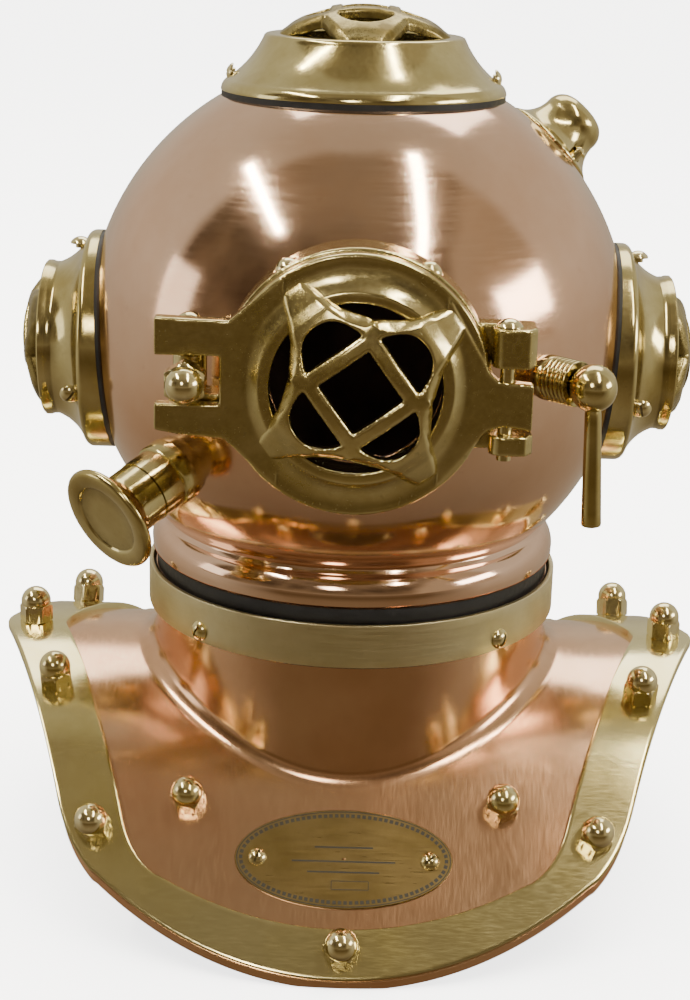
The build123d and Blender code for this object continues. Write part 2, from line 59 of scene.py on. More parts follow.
def addNode(tree, kind, settings=None, inputs=None):
    node = tree.nodes.new(kind)
    for key, value in (settings or {}).items():
        setattr(node, key, value)
    for key, value in (inputs or {}).items():
        socket = node.inputs[key]
        if isinstance(value, bpy.types.NodeSocket):
            tree.links.new(value, socket)
        else:
            socket.default_value = value
    return node


def newMaterial(name):
    material = bpy.data.materials.new(name)
    material.use_nodes = True
    tree = material.node_tree
    tree.nodes.clear()
    out = addNode(tree, "ShaderNodeOutputMaterial")
    shader = addNode(tree, "ShaderNodeBsdfPrincipled")
    tree.links.new(shader.outputs["BSDF"], out.inputs["Surface"])
    coords = addNode(tree, "ShaderNodeTexCoord").outputs["Object"]
    return material, tree, shader, coords


def scaled(tree, coords, scale, turn=(0, 0, 0)):
    mapping = addNode(tree, "ShaderNodeMapping", {}, {"Vector": coords, "Scale": scale, "Rotation": turn})
    return mapping.outputs["Vector"]


def noiseOf(tree, vector, scale, detail=4.0, rough=0.5):
    inputs = {"Vector": vector, "Scale": scale, "Detail": detail, "Roughness": rough}
    return addNode(tree, "ShaderNodeTexNoise", {}, inputs).outputs["Fac"]


def remapped(tree, value, low, high, toLow, toHigh):
    inputs = {"Value": value, "From Min": low, "From Max": high, "To Min": toLow, "To Max": toHigh}
    return addNode(tree, "ShaderNodeMapRange", {"clamp": True}, inputs).outputs["Result"]


def blended(tree, factor, first, second):
    mix = addNode(tree, "ShaderNodeMix", {"data_type": "RGBA"}, {"Factor": factor})
    for socket, value in ((mix.inputs[6], first), (mix.inputs[7], second)):
        if isinstance(value, bpy.types.NodeSocket):
            tree.links.new(value, socket)
        else:
            socket.default_value = value
    return mix.outputs[2]


def sumOf(tree, first, second, operation="ADD"):
    return addNode(tree, "ShaderNodeMath", {"operation": operation}, {0: first, 1: second}).outputs[0]


def bumped(tree, height, strength, distance, normal=None):
    inputs = {"Height": height, "Strength": strength, "Distance": distance}
    if normal is not None:
        inputs["Normal"] = normal
    return addNode(tree, "ShaderNodeBump", {}, inputs).outputs["Normal"]


def metalMaterial(name, look):
    # a metal: two tones, stains, polishing lines, hairline scratches and slow waves of hand work
    material, tree, shader, coords = newMaterial(name)
    perMetre = 1 / mm
    slow = noiseOf(tree, coords, perMetre / look["stainSize"], 5.0, 0.6)
    fine = noiseOf(tree, coords, perMetre / look["mottleSize"], 6.0, 0.65)
    tone = remapped(tree, slow, 0.38, 0.66, 0.0, 1.0)
    colour = blended(tree, tone, tint(look["bright"]), tint(look["deep"]))
    specks = remapped(tree, fine, 0.62, 0.80, 0.0, look.get("specks", 0.25))
    colour = blended(tree, specks, colour, tint(look["stain"]))
    if look.get("hollows"):
        # dark left in the hollows, wear on the edges
        pointy = addNode(tree, "ShaderNodeNewGeometry").outputs["Pointiness"]
        deep = remapped(tree, pointy, look["hollows"][0], look["hollows"][1], 1.0, 0.0)
        ragged = sumOf(tree, deep, remapped(tree, fine, 0.3, 0.7, 0.5, 1.0), "MULTIPLY")
        colour = blended(tree, ragged, colour, tint(look["patina"]))
    tree.links.new(colour, shader.inputs["Base Color"])
    shader.inputs["Metallic"].default_value = 1.0
    lines = noiseOf(tree, scaled(tree, coords, look["lineStretch"], look.get("lineTurn", (0, 0, 0))),
                    perMetre / look["lineSize"], 3.0, 0.6)
    cross = noiseOf(tree, scaled(tree, coords, (1.0, 0.04, 1.0), (0.6, 0.9, 1.1)), perMetre / 0.35, 2.0, 0.5)
    scratch = remapped(tree, cross, 0.66, 0.74, 0.0, 1.0)
    roughness = remapped(tree, lines, 0.3, 0.7, look["rough"][0], look["rough"][1])
    roughness = sumOf(tree, roughness, remapped(tree, slow, 0.4, 0.7, 0.0, look.get("stainRough", 0.06)))
    tree.links.new(sumOf(tree, roughness, sumOf(tree, scratch, look.get("scratchRough", 0.05), "MULTIPLY")),
                   shader.inputs["Roughness"])
    waves = noiseOf(tree, coords, perMetre / look["waveSize"], 1.0, 0.4)
    normal = bumped(tree, waves, look["waves"], look["waveSize"] * mm * 0.25)
    normal = bumped(tree, lines, look["lineDepth"], 0.05 * mm, normal)
    normal = bumped(tree, scratch, look.get("scratchDepth", 0.08), -0.03 * mm, normal)
    tree.links.new(normal, shader.inputs["Normal"])
    return material


def spunCopper():
    # polished spun copper: a rosy mirror with slow waves and a few hairlines
    return metalMaterial("spun polished copper", {
        "bright": "#f0ccb2", "deep": "#e3b797", "stain": "#8a5034", "specks": 0.12,
        "stainSize": 60, "mottleSize": 3.0, "lineStretch": (0.05, 0.05, 1.0), "lineSize": 0.5,
        "rough": (0.07, 0.13), "lineDepth": 0.035, "waveSize": 26, "waves": 0.05,
    })


def sheetCopper():
    # beaten copper sheet, buffed: softer reflections and visible buffing lines down the slope
    return metalMaterial("buffed copper sheet", {
        "bright": "#edc3a0", "deep": "#dba983", "stain": "#7d4528", "specks": 0.16,
        "stainSize": 45, "mottleSize": 2.2, "lineStretch": (1.0, 0.10, 0.10), "lineTurn": (0, 0, 0.35),
        "lineSize": 0.35, "rough": (0.13, 0.20), "lineDepth": 0.03, "waveSize": 20, "waves": 0.07,
        "scratchRough": 0.04, "scratchDepth": 0.03,
    })


def darkCopper():
    # the inside of the copper, coloured a dull brown black
    material, tree, shader, coords = newMaterial("dark brown copper inside")
    patches = noiseOf(tree, coords, 90.0, 5.0, 0.6)
    colour = blended(tree, remapped(tree, patches, 0.35, 0.7, 0.0, 1.0), tint("#1d130d"), tint("#38241a"))
    tree.links.new(colour, shader.inputs["Base Color"])
    shader.inputs["Metallic"].default_value = 0.6
    tree.links.new(remapped(tree, patches, 0.3, 0.7, 0.55, 0.8), shader.inputs["Roughness"])
    tree.links.new(bumped(tree, patches, 0.2, 0.4 * mm), shader.inputs["Normal"])
    return material


def strapBrass():
    # rolled yellow brass, polished, with many fine handling scratches
    return metalMaterial("polished rolled brass", {
        "bright": "#e6dba8", "deep": "#d3c486", "stain": "#6f5a22", "specks": 0.18,
        "stainSize": 38, "mottleSize": 2.0, "lineStretch": (0.12, 1.0, 1.0), "lineTurn": (0, 0, 0.7),
        "lineSize": 0.35, "rough": (0.10, 0.18), "lineDepth": 0.04, "waveSize": 22, "waves": 0.06,
        "scratchRough": 0.05, "scratchDepth": 0.04,
    })


def bandBrass():
    # turned band, brushed along its length: pale brass with lines running round
    return metalMaterial("brushed brass band", {
        "bright": "#ded5b0", "deep": "#c6ba8e", "stain": "#6a5a2c", "specks": 0.22,
        "stainSize": 30, "mottleSize": 1.6, "lineStretch": (0.03, 0.03, 1.0), "lineSize": 0.35,
        "rough": (0.30, 0.44), "lineDepth": 0.22, "waveSize": 30, "waves": 0.04,
    })


def castBrass():
    # sand cast brass, polished by hand: uneven mirror, brown left in the hollows
    return metalMaterial("polished cast brass", {
        "bright": "#d9cc98", "deep": "#b8a76a", "stain": "#4a3a16", "specks": 0.45,
        "stainSize": 16, "mottleSize": 1.8, "lineStretch": (1.0, 1.0, 1.0), "lineSize": 0.9,
        "rough": (0.12, 0.22), "lineDepth": 0.10, "waveSize": 7, "waves": 0.16,
        "hollows": (0.455, 0.50), "patina": "#3a2c10", "stainRough": 0.12,
    })


def flangeBrass():
    # turned and buffed casting: smoother than the raw casting, pale gold
    return metalMaterial("buffed brass flange", {
        "bright": "#dacd98", "deep": "#bba96d", "stain": "#55431a", "specks": 0.30,
        "stainSize": 22, "mottleSize": 2.0, "lineStretch": (1.0, 1.0, 1.0), "lineSize": 0.8,
        "rough": (0.09, 0.17), "lineDepth": 0.06, "waveSize": 11, "waves": 0.12,
        "hollows": (0.44, 0.495), "patina": "#4a3a18", "stainRough": 0.08,
    })


def guardBrass():
    # rough casting with black left in the pits and bright worn ridges
    return metalMaterial("antique cast brass", {
        "bright": "#b3a46e", "deep": "#77683c", "stain": "#1a1408", "specks": 0.75,
        "stainSize": 8, "mottleSize": 1.1, "lineStretch": (1.0, 1.0, 1.0), "lineSize": 0.6,
        "rough": (0.18, 0.34), "lineDepth": 0.25, "waveSize": 3.5, "waves": 0.22,
        "hollows": (0.46, 0.51), "patina": "#15100a", "stainRough": 0.15,
    })


def nutBrass():
    # bright turned brass of the nuts and screws
    return metalMaterial("bright turned brass", {
        "bright": "#f0e4b6", "deep": "#dacb90", "stain": "#5c481c", "specks": 0.3,
        "stainSize": 9, "mottleSize": 1.0, "lineStretch": (0.2, 0.2, 1.0), "lineSize": 0.3,
        "rough": (0.08, 0.18), "lineDepth": 0.10, "waveSize": 6, "waves": 0.08,
        "hollows": (0.44, 0.49), "patina": "#33260c",
    })


def plateBrass():
    # satin brass sheet, lacquered to a warm old gold
    return metalMaterial("satin brass plate", {
        "bright": "#85724a", "deep": "#6b5a35", "stain": "#443512", "specks": 0.25,
        "stainSize": 14, "mottleSize": 0.8, "lineStretch": (0.04, 1.0, 1.0), "lineSize": 0.3,
        "rough": (0.26, 0.38), "lineDepth": 0.20, "waveSize": 18, "waves": 0.03,
    })


def blackRubberAndGapShade():
    # soft black sealing ring: matt, a little dusty; the same black also paints the shade in the gap under the
    # collar band
    material, tree, shader, coords = newMaterial("black sealing rubber and gap shade")
    dust = noiseOf(tree, coords, 700.0, 4.0, 0.6)
    dusty = remapped(tree, dust, 0.45, 0.75, 0.0, 0.5)
    tree.links.new(blended(tree, dusty, tint("#0b0a0a"), tint("#1c1a18")), shader.inputs["Base Color"])
    tree.links.new(remapped(tree, dust, 0.3, 0.7, 0.42, 0.62), shader.inputs["Roughness"])
    tree.links.new(bumped(tree, dust, 0.15, 0.1 * mm), shader.inputs["Normal"])
    return material


def blackFill():
    # black filler in the plate's etched lines
    material, tree, shader, coords = newMaterial("black etching filler")
    grain = noiseOf(tree, coords, 3000.0, 3.0, 0.5)
    tree.links.new(blended(tree, grain, tint("#0c0b08"), tint("#1d1a12")), shader.inputs["Base Color"])
    tree.links.new(remapped(tree, grain, 0.3, 0.7, 0.4, 0.6), shader.inputs["Roughness"])
    return material


finish = {
    "spunCopper": spunCopper(), "sheetCopper": sheetCopper(), "darkCopper": darkCopper(),
    "strapBrass": strapBrass(), "bandBrass": bandBrass(), "castBrass": castBrass(),
    "flangeBrass": flangeBrass(), "guardBrass": guardBrass(), "nutBrass": nutBrass(),
    "plateBrass": plateBrass(), "blackRubberAndGapShade": blackRubberAndGapShade(), "blackFill": blackFill(),
}
print("materials made:", len(finish))


# mesh helpers
def standing(origin, out, up=(0, 0, 1)):
    # local X across, Y up, Z out, at origin
    z = Vector(out).normalized()
    x = Vector(up).cross(z)
    if x.length < 0.01:
        x = Vector((1, 0, 0))
    x.normalize()
    y = z.cross(x)
    turn = Matrix((x, y, z)).transposed().to_4x4()
    return Matrix.Translation(Vector(origin)) @ turn


def arcThrough(first, middle, last, count):
    # points on the circle through three points, both ends included
    ax, ay = first
    bx, by = middle
    cx, cy = last
    d = 2 * (ax * (by - cy) + bx * (cy - ay) + cx * (ay - by))
    a2, b2, c2 = ax * ax + ay * ay, bx * bx + by * by, cx * cx + cy * cy
    ux = (a2 * (by - cy) + b2 * (cy - ay) + c2 * (ay - by)) / d
    uy = (a2 * (cx - bx) + b2 * (ax - cx) + c2 * (bx - ax)) / d
    radius = hypot(ax - ux, ay - uy)
    start, half, end = (atan2(y - uy, x - ux) for x, y in (first, middle, last))
    sweep = (end - start) % (2 * pi)
    if (half - start) % (2 * pi) > sweep:
        sweep -= 2 * pi
    return [(ux + radius * cos(start + sweep * i / count), uy + radius * sin(start + sweep * i / count))
            for i in range(count + 1)]


def softened(points, radius, count=3, least=25):
    # a closed outline with its sharp corners rounded
    result = []
    total = len(points)
    for i, corner in enumerate(points):
        p = Vector(corner)
        before = Vector(points[i - 1]) - p
        after = Vector(points[(i + 1) % total]) - p
        if before.length < 1e-6 or after.length < 1e-6:
            continue
        turn = pi - before.angle(after)
        if turn < radians(least):
            result.append(tuple(p))
            continue
        reach = min(radius, before.length * 0.45, after.length * 0.45)
        a = p + before.normalized() * reach
        b = p + after.normalized() * reach
        for k in range(count + 1):
            t = k / count
            q = a * (1 - t) ** 2 + p * 2 * t * (1 - t) + b * t * t
            result.append(tuple(q))
    return result


def densified(points, longest):
    # points added so that no stretch of a closed outline is longer than this
    result = []
    for i, start in enumerate(points):
        end = points[(i + 1) % len(points)]
        parts = max(1, int(hypot(end[0] - start[0], end[1] - start[1]) / longest))
        for k in range(parts):
            t = k / parts
            result.append((start[0] + (end[0] - start[0]) * t, start[1] + (end[1] - start[1]) * t))
    return result


def meshObject(name, corners, faces, place=None, material=None, sharp=32):
    mesh = bpy.data.meshes.new(name)
    mesh.from_pydata([Vector(c) for c in corners], [], faces)
    if place is not None:
        mesh.transform(place)
    mesh.transform(Matrix.Scale(mm, 4))
    return finishMesh(name, mesh, material, sharp)


def finishMesh(name, mesh, material, sharp):
    shape = bmesh.new()
    shape.from_mesh(mesh)
    bmesh.ops.remove_doubles(shape, verts=shape.verts, dist=1e-7)
    bmesh.ops.recalc_face_normals(shape, faces=shape.faces)
    shape.to_mesh(mesh)
    shape.free()
    mesh.shade_smooth()
    mesh.set_sharp_from_angle(angle=radians(sharp))
    if material is not None:
        mesh.materials.clear()
        mesh.materials.append(material)
    piece = bpy.data.objects.new(name, mesh)
    bpy.context.scene.collection.objects.link(piece)
    return piece


def turnedMesh(name, outline, steps, place, material, radiusAt=None, sharp=32):
    # a closed outline of (radius, height) turned about local Z
    # radiusAt(radius, height, angle) may move a point, for hexagons and lobes
    corners, rings = [], []
    for radius, height in outline:
        if radius < 1e-6:
            corners.append((0, 0, height))
            rings.append([len(corners) - 1] * steps)
            continue
        row = []
        for i in range(steps):
            angle = 2 * pi * i / steps
            r, h = radiusAt(radius, height, angle) if radiusAt else (radius, height)
            corners.append((r * cos(angle), r * sin(angle), h))
            row.append(len(corners) - 1)
        rings.append(row)
    faces = []
    for k, row in enumerate(rings):
        following = rings[(k + 1) % len(rings)]
        if row[0] == row[1] and following[0] == following[1]:
            continue
        for i in range(steps):
            j = (i + 1) % steps
            quad = [row[i], row[j], following[j], following[i]]
            face = [v for n, v in enumerate(quad) if v != quad[n - 1]]
            if len(face) > 2:
                faces.append(face)
    return meshObject(name, corners, faces, place, material, sharp)


def gridLoop(name, rows, place, material, sharp=32):
    # closed rows of points; the first and last row are joined too
    count = len(rows[0])
    corners = [p for row in rows for p in row]
    faces = []
    for k in range(len(rows)):
        following = (k + 1) % len(rows)
        for i in range(count):
            j = (i + 1) % count
            faces.append((k * count + i, k * count + j, following * count + j, following * count + i))
    return meshObject(name, corners, faces, place, material, sharp)


def cutBy(piece, cutters):
    for cutter in cutters:
        hole = piece.modifiers.new("hole", "BOOLEAN")
        hole.operation = "DIFFERENCE"
        hole.solver = "EXACT"
        hole.object = cutter
    bake(piece)
    for cutter in cutters:
        bpy.data.objects.remove(cutter)
    return piece


def bake(piece, sharp=None):
    # the modifiers' result becomes the piece's own plain mesh
    graph = bpy.context.evaluated_depsgraph_get()
    graph.update()
    mesh = bpy.data.meshes.new_from_object(piece.evaluated_get(graph), depsgraph=graph)
    piece.modifiers.clear()
    piece.data = mesh
    if sharp is not None:
        mesh.shade_smooth()
        mesh.set_sharp_from_angle(angle=radians(sharp))
    return piece


def cylinderMesh(name, radius, low, high, place, steps=96):
    return turnedMesh(name, [(0, low), (radius, low), (radius, high), (0, high)], steps, place, None)


def castFromNode(node, material, voxel, passes, body, slotName, shape=None):
    # a soft edged casting: the node's own shape, remeshed fine, shaped by hand and polished smooth
    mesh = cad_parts[node].data.copy()
    piece = finishMesh("cast_" + node, mesh, material, 180)
    grain = piece.modifiers.new("grain", "REMESH")
    grain.mode = "VOXEL"
    grain.voxel_size = voxel * mm
    bake(piece)
    if shape is not None:
        for vertex in piece.data.vertices:
            vertex.co = shape(vertex.co / mm) * mm
    polish = piece.modifiers.new("polish", "SMOOTH")
    polish.factor = 0.5
    polish.iterations = passes
    bake(piece)
    piece.data.materials.clear()
    piece.data.materials.append(material)
    piece.data.shade_smooth()
    return keep(piece, body, slotName, node)


def guardShape(place, turn, guard):
    # lowers the guard's face beside every edge, so that its bars and lobes are rounded
    local = place @ Matrix.Rotation(radians(turn), 4, "Z")
    back = local.inverted()
    outline, bars, opening = guard["outline"], guard["bars"], guard["opening"]
    rise, reach = guard["rise"], guard["outline"][-1][0]
    dome = (reach * reach + rise * rise) / (2 * rise)

    def halfWidth(x):
        for (x0, y0), (x1, y1) in zip(outline, outline[1:]):
            if x <= x1:
                return y0 + (y1 - y0) * max(x - x0, 0) / (x1 - x0)
        return outline[-1][1]

    middle, half = (bars[0] + bars[1]) / 2, (bars[1] - bars[0]) / 2

    def widened(t):
        # draws metal away from the middle of each bar, fading out beyond its edges
        away = abs(t) - middle
        fade = 1.0 if abs(away) < half else max(0.0, 1 - (abs(away) - half) / 3.5)
        grown = max(-half, min(half, away)) / half * guard["widen"] * fade
        return t + (grown if t > 0 else -grown)

    def shape(point):
        p = back @ point
        x, y = (abs(p.x), p.y) if abs(p.x) > abs(p.y) else (abs(p.y), p.x)
        across = abs(y)
        square = max(x, across) - bars[0]
        lobeHole = max(hypot(x - bars[1], y) - opening, bars[1] - x)
        edge = min((halfWidth(x) - across) * 0.88, reach - x) if x > outline[0][0] else 9.0
        top = rise - dome + sqrt(max(dome * dome - p.x * p.x - p.y * p.y, 0))
        depth = min(max((p.z - (top - guard["wall"])) / guard["wall"], 0.0), 1.0)
        soft, shoulder = guard["soft"], guard["shoulder"]
        inner = max(0.0, 1 - max(min(square, lobeHole), 0) / soft)
        outer = max(0.0, 1 - max(edge, 0) / shoulder)
        foot = min(max((x - guard["foot"][0]) / guard["foot"][1], 0.0), 1.0)
        dropped = guard["footDrop"] * foot ** 2 * (3 - 2 * foot)
        p.z -= depth * (soft * 0.9 * inner ** 2 + shoulder * 0.8 * outer ** 2 + dropped)
        p.x, p.y = widened(p.x), widened(p.y)
        return local @ p
    return shape


def keep(piece, body, slotName, *nodes):
    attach(piece, body)
    if nodes:
        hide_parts(*nodes)
    return piece


# placing what repeats, with Geometry Nodes
def placingTree():
    # copies of one piece on points that carry an outward direction and a spin
    tree = bpy.data.node_groups.new("placeCopies", "GeometryNodeTree")
    sockets = (("Places", "Geometry"), ("Piece", "Object"), ("Size", "Float"), ("Finish", "Material"))
    for label, kind in sockets:
        tree.interface.new_socket(label, in_out="INPUT", socket_type="NodeSocket" + kind)
    tree.interface.new_socket("Copies", in_out="OUTPUT", socket_type="NodeSocketGeometry")
    start = addNode(tree, "NodeGroupInput")
    end = addNode(tree, "NodeGroupOutput")
    info = addNode(tree, "GeometryNodeObjectInfo", {}, {"Object": start.outputs["Piece"]})
    out = addNode(tree, "GeometryNodeInputNamedAttribute", {"data_type": "FLOAT_VECTOR"}, {"Name": "out"})
    spin = addNode(tree, "GeometryNodeInputNamedAttribute", {"data_type": "FLOAT"}, {"Name": "spin"})
    outward = addNode(tree, "FunctionNodeAlignRotationToVector", {"axis": "Z"}, {"Vector": out.outputs[0]})
    turn = addNode(tree, "ShaderNodeCombineXYZ", {}, {"Z": spin.outputs[0]})
    local = addNode(tree, "FunctionNodeEulerToRotation", {}, {"Euler": turn.outputs[0]})
    both = addNode(tree, "FunctionNodeRotateRotation", {"rotation_space": "LOCAL"},
                   {"Rotation": outward.outputs[0], "Rotate By": local.outputs[0]})
    size = addNode(tree, "ShaderNodeCombineXYZ", {},
                   {"X": start.outputs["Size"], "Y": start.outputs["Size"], "Z": start.outputs["Size"]})
    copies = addNode(tree, "GeometryNodeInstanceOnPoints", {}, {
        "Points": start.outputs["Places"], "Instance": info.outputs["Geometry"],
        "Rotation": both.outputs[0], "Scale": size.outputs[0],
    })
    solid = addNode(tree, "GeometryNodeRealizeInstances", {}, {"Geometry": copies.outputs["Instances"]})
    painted = addNode(tree, "GeometryNodeSetMaterial", {},
                      {"Geometry": solid.outputs[0], "Material": start.outputs["Finish"]})
    tree.links.new(painted.outputs[0], end.inputs["Copies"])
    return tree


placeCopies = placingTree()


def inputsOf(tree):
    return {item.name: item.identifier for item in tree.interface.items_tree if item.in_out == "INPUT"}


def placed(name, template, places, material, body, slotName, nodes=(), sharp=32):
    # places: list of (point in mm, outward direction, spin in radians)
    points = bpy.data.meshes.new(name)
    points.from_pydata([Vector(p) * mm for p, _, _ in places], [], [])
    points.attributes.new("out", "FLOAT_VECTOR", "POINT")
    points.attributes.new("spin", "FLOAT", "POINT")
    for i, (_, out, spin) in enumerate(places):
        points.attributes["out"].data[i].vector = Vector(out).normalized()
        points.attributes["spin"].data[i].value = spin
    piece = bpy.data.objects.new(name, points)
    bpy.context.scene.collection.objects.link(piece)
    modifier = piece.modifiers.new("copies", "NODES")
    modifier.node_group = placeCopies
    ids = inputsOf(placeCopies)
    modifier[ids["Piece"]] = template
    modifier[ids["Size"]] = 1.0
    modifier[ids["Finish"]] = material
    bake(piece, sharp)
    return keep(piece, body, slotName, *nodes)


def localPlaces(place, points):
    # (local point, local direction, spin) moved by a placement matrix
    turn = place.to_3x3()
    return [(place @ Vector(p), turn @ Vector(d), s) for p, d, s in points]


# fastener templates
def hexRadius(flat, top):
    # keeps points below the hexagon's top inside its six flats
    def radius(r, h, angle):
        if h > top:
            return (r, h)
        side = flat / 2 / cos((angle % (pi / 3)) - pi / 6)
        return (min(r, side), h)
    return radius


def acornNut(name, size):
    # hexagon with turned bevels, then the closed dome, a little wider than the flats
    corner = size["flat"] / sqrt(3)
    dome, hexTop = size["dome"], size["hex"]
    outline = [(0, 0), (corner - 0.45, 0), (corner, 0.26)]
    outline += [(corner, hexTop - 0.55), (corner - 0.15, hexTop - 0.4), (dome + 0.1, hexTop - 0.05)]
    outline += [(dome - 0.05, hexTop + 0.02), (dome, hexTop + 0.15)]
    centre = size["height"] - dome
    outline += [(dome * cos(a), centre + dome * sin(a)) for a in [pi / 2 * i / 14 for i in range(15)]]
    outline[-1] = (0, size["height"])
    return turnedMesh(name, outline, 96, None, None, hexRadius(size["flat"], hexTop), 28)


def slottedScrew(name, size):
    # domed head with a sawn slot, drawn in rows that run along the slot, and a plain shank
    r, h, edge = size["head"], size["height"], 0.3
    w, floor = size["slot"] / 2, size["height"] - size["slotDepth"]
    rise = h - edge
    ball = (r * r + rise * rise) / (2 * rise)
    steps = 24

    def domeAt(x, y):
        return h - ball + sqrt(max(ball * ball - x * x - y * y, 0))

    side = [-r * cos(pi / 2 * i / 12) for i in range(12)]
    lows = [y for y in side if y < -w - 0.05] + [-w - 0.04, -w]
    spread = [(y, False) for y in lows] + [(-w + 0.01, True), (w - 0.01, True)]
    spread += [(-y, False) for y in reversed(lows)]
    rows = []
    for y, sunk in spread:
        half = sqrt(max(r * r - y * y, 0))
        xs = [half * cos(pi * k / steps) for k in range(steps + 1)]
        top = [(x, y, min(domeAt(x, y), floor) if sunk else domeAt(x, y)) for x in xs]
        rows.append(top + [(x, y, 0.0) for x in reversed(xs)])
    count = len(rows[0])
    corners = [p for row in rows for p in row]
    faces = []
    for k in range(0, (len(rows) - 1) * count, count):
        for i in range(count):
            j = (i + 1) % count
            faces.append((k + i, k + j, k + count + j, k + count + i))
    # shank below the head
    start = len(corners)
    around = 24
    for z in (0.1, -size["shank"]):
        corners += [(size["stem"] * cos(2 * pi * i / around), size["stem"] * sin(2 * pi * i / around), z)
                    for i in range(around)]
    faces += [(start + i, start + (i + 1) % around, start + around + (i + 1) % around, start + around + i)
              for i in range(around)]
    faces.append(tuple(start + i for i in range(around)))
    faces.append(tuple(start + around + i for i in reversed(range(around))))
    return meshObject(name, corners, faces, None, None, 30)


nutSize = {"flat": 7.0, "hex": 4.3, "dome": 3.6, "height": 8.6}
latchNutSize = {"flat": 8.0, "hex": 4.2, "dome": 3.8, "height": 8.0}
screwSize = {"head": 2.35, "height": 1.6, "stem": 1.2, "shank": 1.0, "slot": 0.55, "slotDepth": 0.7}
smallScrewSize = {"head": 2.1, "height": 1.4, "stem": 1.1, "shank": 0.6, "slot": 0.5, "slotDepth": 0.6}

nutTemplate = acornNut("nutTemplate", nutSize)
latchNutTemplate = acornNut("latchNutTemplate", latchNutSize)
screwTemplate = slottedScrew("screwTemplate", screwSize)
smallScrewTemplate = slottedScrew("smallScrewTemplate", smallScrewSize)
print("fastener templates made")

# breastplate
bib = {
    "ridge": 53.0, "arch": 75.0, "halfAngle": radians(46.5),
    "strap": 1.6, "sheet": 1.2,
    "neck": 47.4, "neckTop": 71.5, "flare": 5.5,
    "outer": {"tip": 85.0, "side": (62.0, 60.0), "front": 80.0, "tipRound": 9.0, "cornerRound": 25.0},
    "inner": {"tip": 70.5, "side": (47.5, 62.0), "front": 72.4, "tipRound": 8.0, "cornerRound": 16.0},
    "columns": 384, "underEdge": 0.9,
}


def archHeight(y, depth=0.0):
    # height of the arch at y, this far under the strap's top face
    radius = bib["arch"] - depth
    base = bib["ridge"] - bib["arch"]
    a = bib["halfAngle"]
    y = abs(y)
    if y < radius * sin(a):
        return base + sqrt(radius * radius - y * y)
    return base + radius * cos(a) - (y - radius * sin(a)) * tan(a)


def archNormal(y):
    a = min(asin(min(abs(y) / bib["arch"], 1.0)), bib["halfAngle"])
    way = 1 if y > 0 else -1
    return Vector((0, way * sin(a), cos(a)))


def planOutline(shape):
    # slanted side, shallow front arc and the other side, then the same mirrored to the back
    sx, sy = shape["side"]
    front = [(x, -y) for x, y in arcThrough((sx, sy), (0, shape["front"]), (-sx, sy), 80)]
    half = [(shape["tip"], 0.0)] + front + [(-shape["tip"], 0.0)]
    return half + [(x, -y) for x, y in reversed(half[1:-1])]


def roundedLoop(shape):
    # the four side corners and the two tips become curves tangent to their neighbours
    loop = planOutline(shape)
    sx, sy = shape["side"]
    total = len(loop)
    rounding = {}
    for i, (x, y) in enumerate(loop):
        if abs(abs(x) - sx) < 0.01 and abs(abs(y) - sy) < 0.01:
            rounding[i] = shape["cornerRound"]
        elif abs(y) < 1e-9:
            rounding[i] = shape["tipRound"]
    skip = set()
    arcs = {}
    for i, radius in rounding.items():
        q = Vector(loop[i])
        u = (Vector(loop[i - 1]) - q).normalized()
        v = (Vector(loop[(i + 1) % total]) - q).normalized()
        reach = radius / tan(u.angle(v) / 2)
        for way in (1, -1):
            for k in range(1, total):
                j = (i + way * k) % total
                if j in rounding or (Vector(loop[j]) - q).length > reach:
                    break
                skip.add(j)
        start, end = q + u * reach, q + v * reach
        arcs[i] = [tuple(start * (1 - t) ** 2 + q * 2 * t * (1 - t) + end * t * t)
                   for t in [s / 12 for s in range(13)]]
    result = []
    for i, p in enumerate(loop):
        if i in arcs:
            result.extend(arcs[i])
        elif i not in skip:
            result.append(p)
    return result


def reachOf(loop):
    # distance from the middle to the outline along any angle
    polar = sorted((atan2(y, x) % (2 * pi), hypot(x, y)) for x, y in loop)

    def reach(angle):
        angle %= 2 * pi
        for i in range(len(polar)):
            a0, r0 = polar[i - 1]
            a1, r1 = polar[i]
            if i == 0:
                a0 -= 2 * pi
            if a0 <= angle <= a1:
                break
        else:
            a0, r0 = polar[-1]
            a1, r1 = polar[0][0] + 2 * pi, polar[0][1]
        # where the ray crosses the straight chord between the two points
        x0, y0, x1, y1 = r0 * cos(a0), r0 * sin(a0), r1 * cos(a1), r1 * sin(a1)
        dx, dy = cos(angle), sin(angle)
        cross = dx * (y1 - y0) - dy * (x1 - x0)
        if abs(cross) < 1e-9:
            return r0
        return (x0 * (y1 - y0) - y0 * (x1 - x0)) / cross
    return reach


outerReach = reachOf(roundedLoop(bib["outer"]))
innerReach = reachOf(roundedLoop(bib["inner"]))
bibAngles = [2 * pi * i / bib["columns"] for i in range(bib["columns"])]


def sheetColumn(angle, depth):
    # one column of the copper sheet, from the neck's top down and out to the edge
    flare, neck = bib["flare"], bib["neck"] - (depth - bib["strap"])
    flare += depth - bib["strap"]

    def height(r):
        return archHeight(r * sin(angle), depth)

    centre = neck + flare
    slope = 0.0
    for _ in range(12):
        touch = centre - flare * sin(slope)
        slope = -atan2(height(touch + 0.01) - height(touch - 0.01), 0.02)
    touch = centre - flare * sin(slope)
    middle = height(touch) + flare * cos(slope)
    end = outerReach(angle) - bib["underEdge"]
    points = [(neck, bib["neckTop"] + (middle - bib["neckTop"]) * i / 12) for i in range(12)]
    sweep = pi / 2 - slope
    turns = [sweep * i / 14 for i in range(15)]
    points += [(centre - flare * cos(t), middle - flare * sin(t)) for t in turns]
    outward = [touch + (end - touch) * (i / 44) for i in range(1, 45)]
    points += [(r, height(r)) for r in outward]
    return [(r * cos(angle), r * sin(angle), max(z, 0.0)) for r, z in points]


